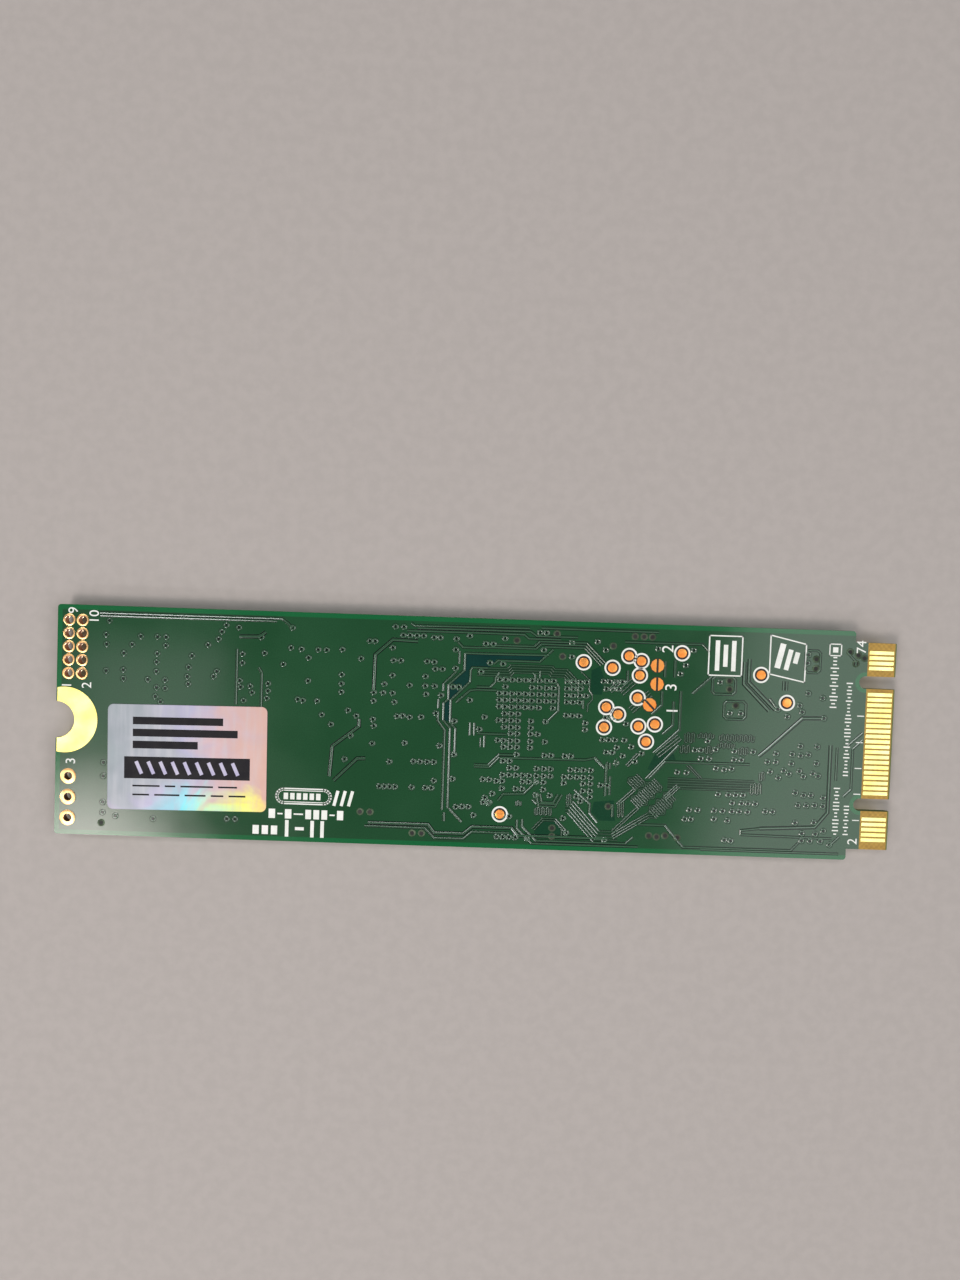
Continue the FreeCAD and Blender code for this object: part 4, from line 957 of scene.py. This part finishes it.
viaShape = {
    "steps": 8,
    "frontRoom": 0.4,  # clear of the parts on the front
    "sharp": 18,
    "section": [  # moat, outer slope, land, inner slope, pit
        (0.345, 0), (0.34, 0.002), (0.31, 0.002), (0.245, 0.027), (0.2, 0.027), (0.135, 0.002), (0, 0.002),
    ],
}


def allVias():
    spots = list(viaSpots)
    for (u, v), count, step in viaRows:
        spots += [(u + index * step, v) for index in range(count)]
    for v, stretches in fieldRows.items():
        for first, last in stretches:
            spots += [(u, v) for u in fieldColumns[first:last + 1]]
    return [onBack(u, v) for u, v in spots]


def frontBoxes():  # what stands on the front, so that vias show only between the parts
    boxes = []
    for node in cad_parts:
        if node != "circuit_board":
            boxes += [box for box in islandBoxes(node) if box[0].z < frontZ - 0.001 * mm]
    return boxes


def nearBox(place, box, room):
    low, high = box
    return low.x - room < place.x < high.x + room and low.y - room < place.y < high.y + room


def makeVias():
    places, boxes = allVias(), frontBoxes()
    room, sharp = viaShape["frontRoom"] * mm, viaShape["sharp"]
    crater = spunMesh("coveredVia", viaShape["section"], viaShape["steps"], False)
    underside = crater.copy()
    underside.transform(Matrix.Rotation(math.pi, 4, "X"))
    addPiece("coveredVias", scatter(crater, places), "relief", "board_mask", sharp=sharp)
    thickness = Vector((0, 0, backZ - frontZ))
    showing = [place - thickness for place in places if not any(nearBox(place, box, room) for box in boxes)]
    addPiece("frontVias", scatter(underside, showing), "relief", "board_mask", sharp=sharp)
    print("covered vias done:", len(places), "of which on the front", len(showing))


makeVias()

# Open vias: a dull ring round a dark disc, painted shade where the hole is
openViaSpots = [
    (4.5, 20.8), (29.25, 18.9), (30.2, 18.9), (34.3, 20.8), (35.2, 20.8), (43.7, 1.98), (47.5, 1.22),
    (52.9, 2.2), (48.1, 3.36), (47.7, 19.87), (47.7, 20.67), (53.0, 17.6), (54.95, 1.22), (55.8, 1.22),
    (56.6, 1.22), (57.0, 20.3), (57.75, 20.4), (58.56, 20.25), (59.74, 20.4), (75.5, 2.0), (76.3, 2.3),
    (76.9, 2.56), (76.1, 3.1), (64.1, 5.15), (64.15, 5.95), (64.8, 7.5), (72.3, 2.8), (72.3, 3.7),
]
openViaShape = {
    "steps": 20,
    "rim": [(0.36, 0), (0.32, 0.016), (0.25, 0.018), (0.2, 0.01), (0.2, 0)],  # radius, height
    "shadeDisc": [(0.21, 0.004), (0, 0.003)],
}


def makeOpenVias():
    places = [onBack(u, v) for u, v in openViaSpots]
    rim = spunMesh("rim", openViaShape["rim"], openViaShape["steps"], True)
    # a dark disc standing for the hole: painted shade
    shadeDisc = spunMesh("shadeDisc", openViaShape["shadeDisc"], openViaShape["steps"], False)
    addPiece("openViaRings", scatter(rim, places), "viaRing", "board_mask")
    addPiece("openViaShadeDiscs", scatter(shadeDisc, places), "hole", "board_mask")


makeOpenVias()
print("open vias done:", len(openViaSpots))

# Fields with little or no copper under the mask: thin dark sheets between the traces
fieldLift = 0.0006  # half a sheet's thickness
clearFields = [
    [(38.85, 3.4), (46.6, 3.36), (45.9, 3.85), (41.8, 3.85), (41.2, 4.65), (39.5, 4.65), (39.3, 5.0),
     (39.3, 6.1), (37.53, 7.9), (37.53, 10.0), (36.95, 9.8), (36.95, 8.2), (37.38, 7.83), (37.38, 6.42),
     (38.85, 5.0)],
]
dimFields = [
    [(50.9, 4.6), (51.7, 4.2), (52.1, 5.2), (52.0, 6.9), (51.1, 6.9), (50.9, 6.4)],
    [(46.0, 20.6), (46.0, 19.9), (46.85, 19.05), (47.95, 19.05), (48.9, 20.0), (48.9, 20.6)],
    [(51.6, 17.2), (53.5, 17.0), (53.7, 19.0), (52.2, 19.0), (51.4, 18.2)],
    [(57.3, 12.4), (58.9, 11.9), (59.3, 12.9), (58.2, 12.95), (57.2, 14.0), (56.6, 13.9)],
]


def makeFields(name, fields, finish):
    outline = polyCurve(name, [[onBack(u, v).xy for u, v in field] for field in fields], True)
    outline.extrude = fieldLift * mm
    bm = bmesh.new()
    takeMesh(bm, flatMesh(outline), Matrix.Translation((0, 0, backZ + fieldLift * mm)))
    addPiece(name, bm, finish, "board_mask")


makeFields("clearFields", clearFields, "clear")
makeFields("dimFields", dimFields, "dim")
print("clear fields done")

# White legend: rings, plain pin numbers, ticks, frames and rows of plain bars
legendShape = {
    "height": 0.024,
    "numbers": [  # figure, place, text size
        ("9", (1.5, 0.55), 1.3), ("10", (3.5, 1.1), 1.3), ("1", (1.0, 7.7), 1.3), ("2", (2.9, 7.65), 1.3),
        ("3", (1.5, 14.95), 1.3), ("74", (76.6, 1.5), 1.3), ("2", (76.6, 20.2), 1.3),
        ("2", (58.15, 2.3), 1.56), ("3", (58.6, 5.95), 1.56), ("1", (58.8, 8.2), 1.56),
    ],
    "ticks": {"u": 76.78, "rows": (8.1, 10.64, 13.13, 15.62, 18.15), "length": 0.65, "width": 0.09},
    "frames": [  # corners, stroke
        ([(62.04, 0.88), (65.2, 0.88), (65.2, 4.66), (62.04, 4.66)], 0.12),
        ([(67.88, 0.65), (71.3, 1.42), (71.26, 5.05), (67.88, 4.36)], 0.12),
        ([(73.55, 1.3), (74.65, 1.3), (74.65, 2.4), (73.55, 2.4)], 0.1),
    ],
    "pills": [  # middle, length, width, stroke
        ((23.8, 17.63), 5.3, 1.46, 0.12), ((23.8, 17.63), 4.9, 1.1, 0.08),
    ],
    "pillSteps": 8,  # in each round end
    "blocks": [  # middle, length, width, degrees of turn
        ((62.85, 2.77), 0.42, 2.9, 0), ((63.63, 2.77), 0.42, 2.1, 0), ((64.41, 2.77), 0.42, 2.9, 0),
        ((68.85, 2.6), 0.55, 2.4, -12.7), ((69.65, 2.95), 0.45, 2.0, -12.7), ((70.4, 2.75), 0.45, 1.1, -12.7),
        ((26.9, 17.7), 0.3, 1.5, -14), ((27.6, 17.7), 0.3, 1.5, -14), ((28.3, 17.7), 0.3, 1.5, -14),
        ((74.1, 1.85), 0.5, 0.5, 0),
    ],
    "rows": [  # start, length and width of each bar, gap
        ((21.9, 17.63), [(0.42, 0.62)] * 6, 0.2),
        ((20.5, 19.35), [(0.62, 0.9), (0.5, 0.14), (0.62, 0.9), (0.9, 0.14), *[(0.55, 0.9)] * 3,
                         (0.5, 0.14), (0.6, 0.9)], 0.22),
        ((19.0, 20.95), [(0.6, 0.85)] * 3, 0.28),
        ((22.1, 20.75), [(0.34, 1.6), (0.85, 0.3), (0.34, 1.6), (0.34, 1.6)], 0.62),
    ],
    "columns": [  # start, width, count of short dashes
        ((74.1, 7.4), 0.8, 15), ((75.6, 13.9), 0.6, 27), ((74.85, 19.6), 0.6, 14), ((75.85, 19.6), 0.5, 9),
    ],
    "dash": {"length": 0.12, "gap": 0.22, "shares": (0.45, 0.8, 1.0)},  # shares of the column's width
}


def printNumber(bm, figure, spot, size):
    text = bpy.data.curves.new("number", "FONT")
    text.body, text.size = figure, size * mm
    text.align_x, text.align_y = "CENTER", "CENTER"
    text.extrude = legendShape["height"] / 2 * mm
    turn = Matrix.Rotation(math.radians(90), 4, "Z")
    takeMesh(bm, flatMesh(text), Matrix.Translation(onBack(*spot, legendShape["height"] / 2)) @ turn)


def printFrame(bm, corners, stroke):  # a closed outline of straight strokes
    for (u, v), (nextU, nextV) in zip(corners, corners[1:] + corners[:1]):
        start, end = onBack(u, v), onBack(nextU, nextV)
        run = end - start
        length = run.length / mm + stroke
        addSlab(bm, (start + end) / 2, length, stroke, legendShape["height"], math.atan2(run.y, run.x))


def printBars(bm, first, sizes, gap, turn=0.0):  # bars one after another along a line
    along = Vector((math.cos(turn), math.sin(turn), 0))
    at = onBack(*first)
    for length, width in sizes:
        addSlab(bm, at + along * length / 2 * mm, length, width, legendShape["height"], turn)
        at += along * (length + gap) * mm


def printPill(bm, middle, length, width, stroke):  # an outline with round ends
    half, steps = width / 2, legendShape["pillSteps"]
    corners = []
    for side, start in ((1, -90), (-1, 90)):
        for step in range(steps + 1):
            angle = math.radians(start + step * 180 / steps)
            u = middle[0] + side * (length / 2 - half) + half * math.cos(angle)
            corners.append((u, middle[1] - half * math.sin(angle)))
    printFrame(bm, corners, stroke)


def makeLegend(bm):
    height, ticks, dash = legendShape["height"], legendShape["ticks"], legendShape["dash"]
    for number in legendShape["numbers"]:
        printNumber(bm, *number)
    for v in ticks["rows"]:
        addSlab(bm, onBack(ticks["u"], v), ticks["length"], ticks["width"], height)
    for corners, stroke in legendShape["frames"]:
        printFrame(bm, corners, stroke)
    for pill in legendShape["pills"]:
        printPill(bm, *pill)
    for spot, length, width, degrees in legendShape["blocks"]:
        addSlab(bm, onBack(*spot), length, width, height, math.radians(degrees))
    for row in legendShape["rows"]:
        printBars(bm, *row)
    for first, width, count in legendShape["columns"]:
        dashes = [(dash["length"], width * rng.choice(dash["shares"])) for index in range(count)]
        printBars(bm, first, dashes, dash["gap"], math.radians(90))
    addPiece("legendPrint", bm, "whiteInk", "board_mask")


makeLegend(inkRings)
print("legend done")

# Foil label: softened sheet with a plain layout of dark bars and a striped panel
labelShape = {
    "edge": 0.025,
    "turn": 0.7,  # degrees
    "ink": 0.006,
    "left": -5.2,  # where the rows start, from the label's middle
    "bars": {"width": 0.72, "rows": ((3.5, 8.6), (2.35, 10.0), (1.2, 6.2))},  # place across, length
    "panel": {"across": -1.0, "length": 12.0, "width": 2.1},
    "stripes": {"count": 9, "first": -4.6, "pitch": 1.15, "length": 0.34, "width": 1.3, "lean": 24.0},
    "dashes": {
        "width": 0.16,
        "gap": 0.5,
        "rows": ((-2.75, (2.6, 1.0, 3.1, 1.8)), (-3.6, (1.6, 2.4, 2.0, 1.2, 1.6))),
    },
}


def makeLabel():
    sheet = softenedCopy("hologram_label", labelShape["edge"])
    addPiece("foilLabel", sheet, "foil", "label_foil", "hologram_label")
    low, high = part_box("hologram_label")
    middle = Vector(((low.x + high.x) / 2, (low.y + high.y) / 2, high.z))
    left, ink, turn = labelShape["left"], labelShape["ink"], math.radians(labelShape["turn"])
    spin = Matrix.Rotation(turn, 3, "Z")
    dark, silver = bmesh.new(), bmesh.new()

    def mark(bm, along, across, length, width, lean=0.0, lift=0.0):
        place = middle + spin @ Vector((along * mm, across * mm, lift * mm))
        addSlab(bm, place, length, width, ink, turn + math.radians(lean))

    bars, panel, stripes, dashes = (labelShape[part] for part in ("bars", "panel", "stripes", "dashes"))
    for across, length in bars["rows"]:
        mark(dark, left + length / 2, across, length, bars["width"])
    mark(dark, 0, panel["across"], panel["length"], panel["width"])
    for index in range(stripes["count"]):
        along = stripes["first"] + index * stripes["pitch"]
        mark(silver, along, panel["across"], stripes["length"], stripes["width"], stripes["lean"], ink)
    for across, lengths in dashes["rows"]:
        at = left
        for length in lengths:
            mark(dark, at + length / 2, across, length, dashes["width"])
            at += length + dashes["gap"]
    addPiece("labelBars", dark, "blackInk", "label_foil")
    addPiece("labelStripes", silver, "silverInk", "label_foil")


makeLabel()
print("label done")

# Front side: the same parts with softened edges
softParts = {  # node, edge width, finish, slot
    "flashChipA": ("flash_chip_a", 0.04, "mould", "chip_mould"),
    "flashChipB": ("flash_chip_b", 0.04, "mould", "chip_mould"),
    "controllerChip": ("controller_chip", 0.04, "mould", "chip_mould"),
    "memoryChip": ("memory_chip", 0.04, "mould", "chip_mould"),
    "powerChip": ("power_chip", 0.03, "mould", "chip_mould"),
    "bootChip": ("boot_chip", 0.03, "mould", "chip_mould"),
    "inputSwitch": ("input_switch", 0.03, "mould", "chip_mould"),
    "switchLegs": ("input_switch_legs", 0.02, "solder", "solder"),
    "powerCoils": ("power_inductors", 0.06, "inductor", "inductor_block"),
    "coilTerminals": ("inductor_terminals", 0.03, "solder", "solder"),
    "smallCapacitors": ("small_capacitor_blocks", 0.02, "ceramic", "capacitor_ceramic"),
    "smallCapacitorEnds": ("small_capacitor_ends", 0.03, "solder", "solder"),
    "largeCapacitors": ("large_capacitor_blocks", 0.03, "ceramic", "capacitor_ceramic"),
    "largeCapacitorEnds": ("large_capacitor_ends", 0.05, "solder", "solder"),
    "resistors": ("resistor_blocks", 0.02, "resistor", "resistor_coat"),
    "resistorEnds": ("resistor_ends", 0.03, "solder", "solder"),
    "crystalTray": ("crystal_tray", 0.03, "tray", "crystal_ceramic"),
    "crystalLid": ("crystal_lid", 0.05, "lid", "crystal_metal"),
}
for name, (node, width, finish, slotName) in softParts.items():
    addPiece(name, softenedCopy(node, width), finish, slotName, node)
print("front parts done:", len(softParts))

# Pin-one dots: a paler floor in the round dimple at one corner of each chip
dotShape = {
    "depth": 0.05,  # of the dimple
    "height": 0.006,
    "edge": 0.02,
    "steps": 24,
    "kinds": [  # inset from the corner, radius, chips
        (1.2, 0.33, ("flash_chip_a", "flash_chip_b", "controller_chip", "memory_chip")),
        (0.5, 0.15, ("power_chip", "boot_chip", "input_switch")),
    ],
}


def makeDots():
    bm = bmesh.new()
    height = dotShape["height"]
    faceDown = Matrix.Rotation(math.pi, 4, "X")
    for inset, radius, chips in dotShape["kinds"]:
        outline = [(radius, 0), (radius - dotShape["edge"], height), (0, height)]
        for chip in chips:
            low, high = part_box(chip)
            corner = Vector((low.x + inset * mm, high.y - inset * mm, low.z + dotShape["depth"] * mm))
            dot = spunMesh("dot", outline, dotShape["steps"], False)
            takeMesh(bm, dot, Matrix.Translation(corner) @ faceDown)
    addPiece("pinOneDots", bm, "chipDot", "chip_mould")


makeDots()
print("pin-one dots done")

# Floor, light and camera
stageSetup = {
    "floorSide": 3.0,
    "floorDrop": 0.02,  # a hair under the lowest chips, so that their faces show from below
    "floorTone": tone(177, 170, 166),
    "skyTone": tone(226, 230, 236),
    "skyStrength": 0.14,
}
lampTones = {"warm": (1.0, 0.92, 0.88), "plain": (1.0, 1.0, 1.0)}
softboxes = [  # name, place, aim, width, height, watts, tone
    ("key softbox", (-0.244, -0.254, 0.595), (0, 0, 0), 0.255, 0.15, 1.75, "warm"),
    ("upper strip", (-0.155, 0.2, 0.5), (-0.155, 0.2, 0), 0.34, 0.09, 0.65, "plain"),
    ("left strip", (-0.42, -0.08, 0.45), (-0.42, -0.08, 0), 0.16, 0.09, 0.4, "plain"),
    ("veil strip", (-0.183, -0.045, 0.45), (-0.183, -0.045, 0), 0.085, 0.06, 0.022, "plain"),
    ("edge strip", (-0.245, -0.428, 0.45), (-0.245, -0.428, 0), 0.14, 0.06, 0.45, "plain"),
    ("right softbox", (0.341, -0.05, 0.496), (0, 0, 0), 0.50, 0.38, 1.4, "plain"),
    ("front softbox", (-0.05, -0.55, 0.45), (0, 0, 0), 0.90, 0.50, 0.55, "plain"),
    ("under softbox", (0.02, -0.4, -1.45), (0, 0, 0), 0.30, 0.30, 12.0, "plain"),
]
cameraSetup = {"lens": 27.028, "place": (-0.175, 12.299, 93.458), "turn": (-2.113, -0.144, 1.969)}


def makeFloor():
    bm = bmesh.new()
    drop = Matrix.Translation((0, 0, -stageSetup["floorDrop"] * mm))
    bmesh.ops.create_grid(bm, x_segments=1, y_segments=1, size=stageSetup["floorSide"] / 2, matrix=drop)
    mesh = bpy.data.meshes.new("floor")
    bm.to_mesh(mesh)
    bm.free()
    material, tree, shader = newMaterial("pale floor", Roughness=0.7)
    facing = calc(tree, "SUBTRACT", 1.0, addNode(tree, "NewGeometry").outputs["Backfacing"])
    seen = addNode(tree, "LightPath").outputs["Is Camera Ray"]
    feed(tree, shader, Alpha=calc(tree, "MULTIPLY", facing, seen))  # clear from below
    feed(tree, shader, Base_Color=speckled(tree, stageSetup["floorTone"], addGrain(tree, 900.0, 0.03)))
    mesh.materials.append(material)
    floor = bpy.data.objects.new("floor", mesh)
    scene.collection.objects.link(floor)
    floor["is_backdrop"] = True


def makeLight():
    world = bpy.data.worlds.new("studio")
    world.use_nodes = True
    sky = world.node_tree.nodes["Background"]
    sky.inputs["Color"].default_value = stageSetup["skyTone"]
    sky.inputs["Strength"].default_value = stageSetup["skyStrength"]
    scene.world = world
    for name, place, aim, width, height, watts, lampTone in softboxes:
        light = bpy.data.lights.new(name, "AREA")
        light.shape, light.size, light.size_y = "RECTANGLE", width, height
        light.energy, light.color = watts, lampTones[lampTone]
        box = bpy.data.objects.new(name, light)
        box.location = place
        box.rotation_euler = (Vector(aim) - Vector(place)).to_track_quat("-Z", "Y").to_euler()
        scene.collection.objects.link(box)


def makeCamera():
    view = bpy.data.cameras.new("overhead camera")
    view.lens, view.sensor_width, view.clip_start = cameraSetup["lens"], 36.0, 0.001
    camera = bpy.data.objects.new("overhead camera", view)
    camera.location = Vector(cameraSetup["place"]) * mm
    camera.rotation_euler = [math.radians(angle) for angle in cameraSetup["turn"]]
    scene.collection.objects.link(camera)
    scene.camera = camera


makeFloor()
makeLight()
makeCamera()
scene.view_settings.view_transform = "Standard"
print("stage done")

sizes = {"cad": [list(corner) for corner in cadBox], "visual": [list(corner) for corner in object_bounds()]}
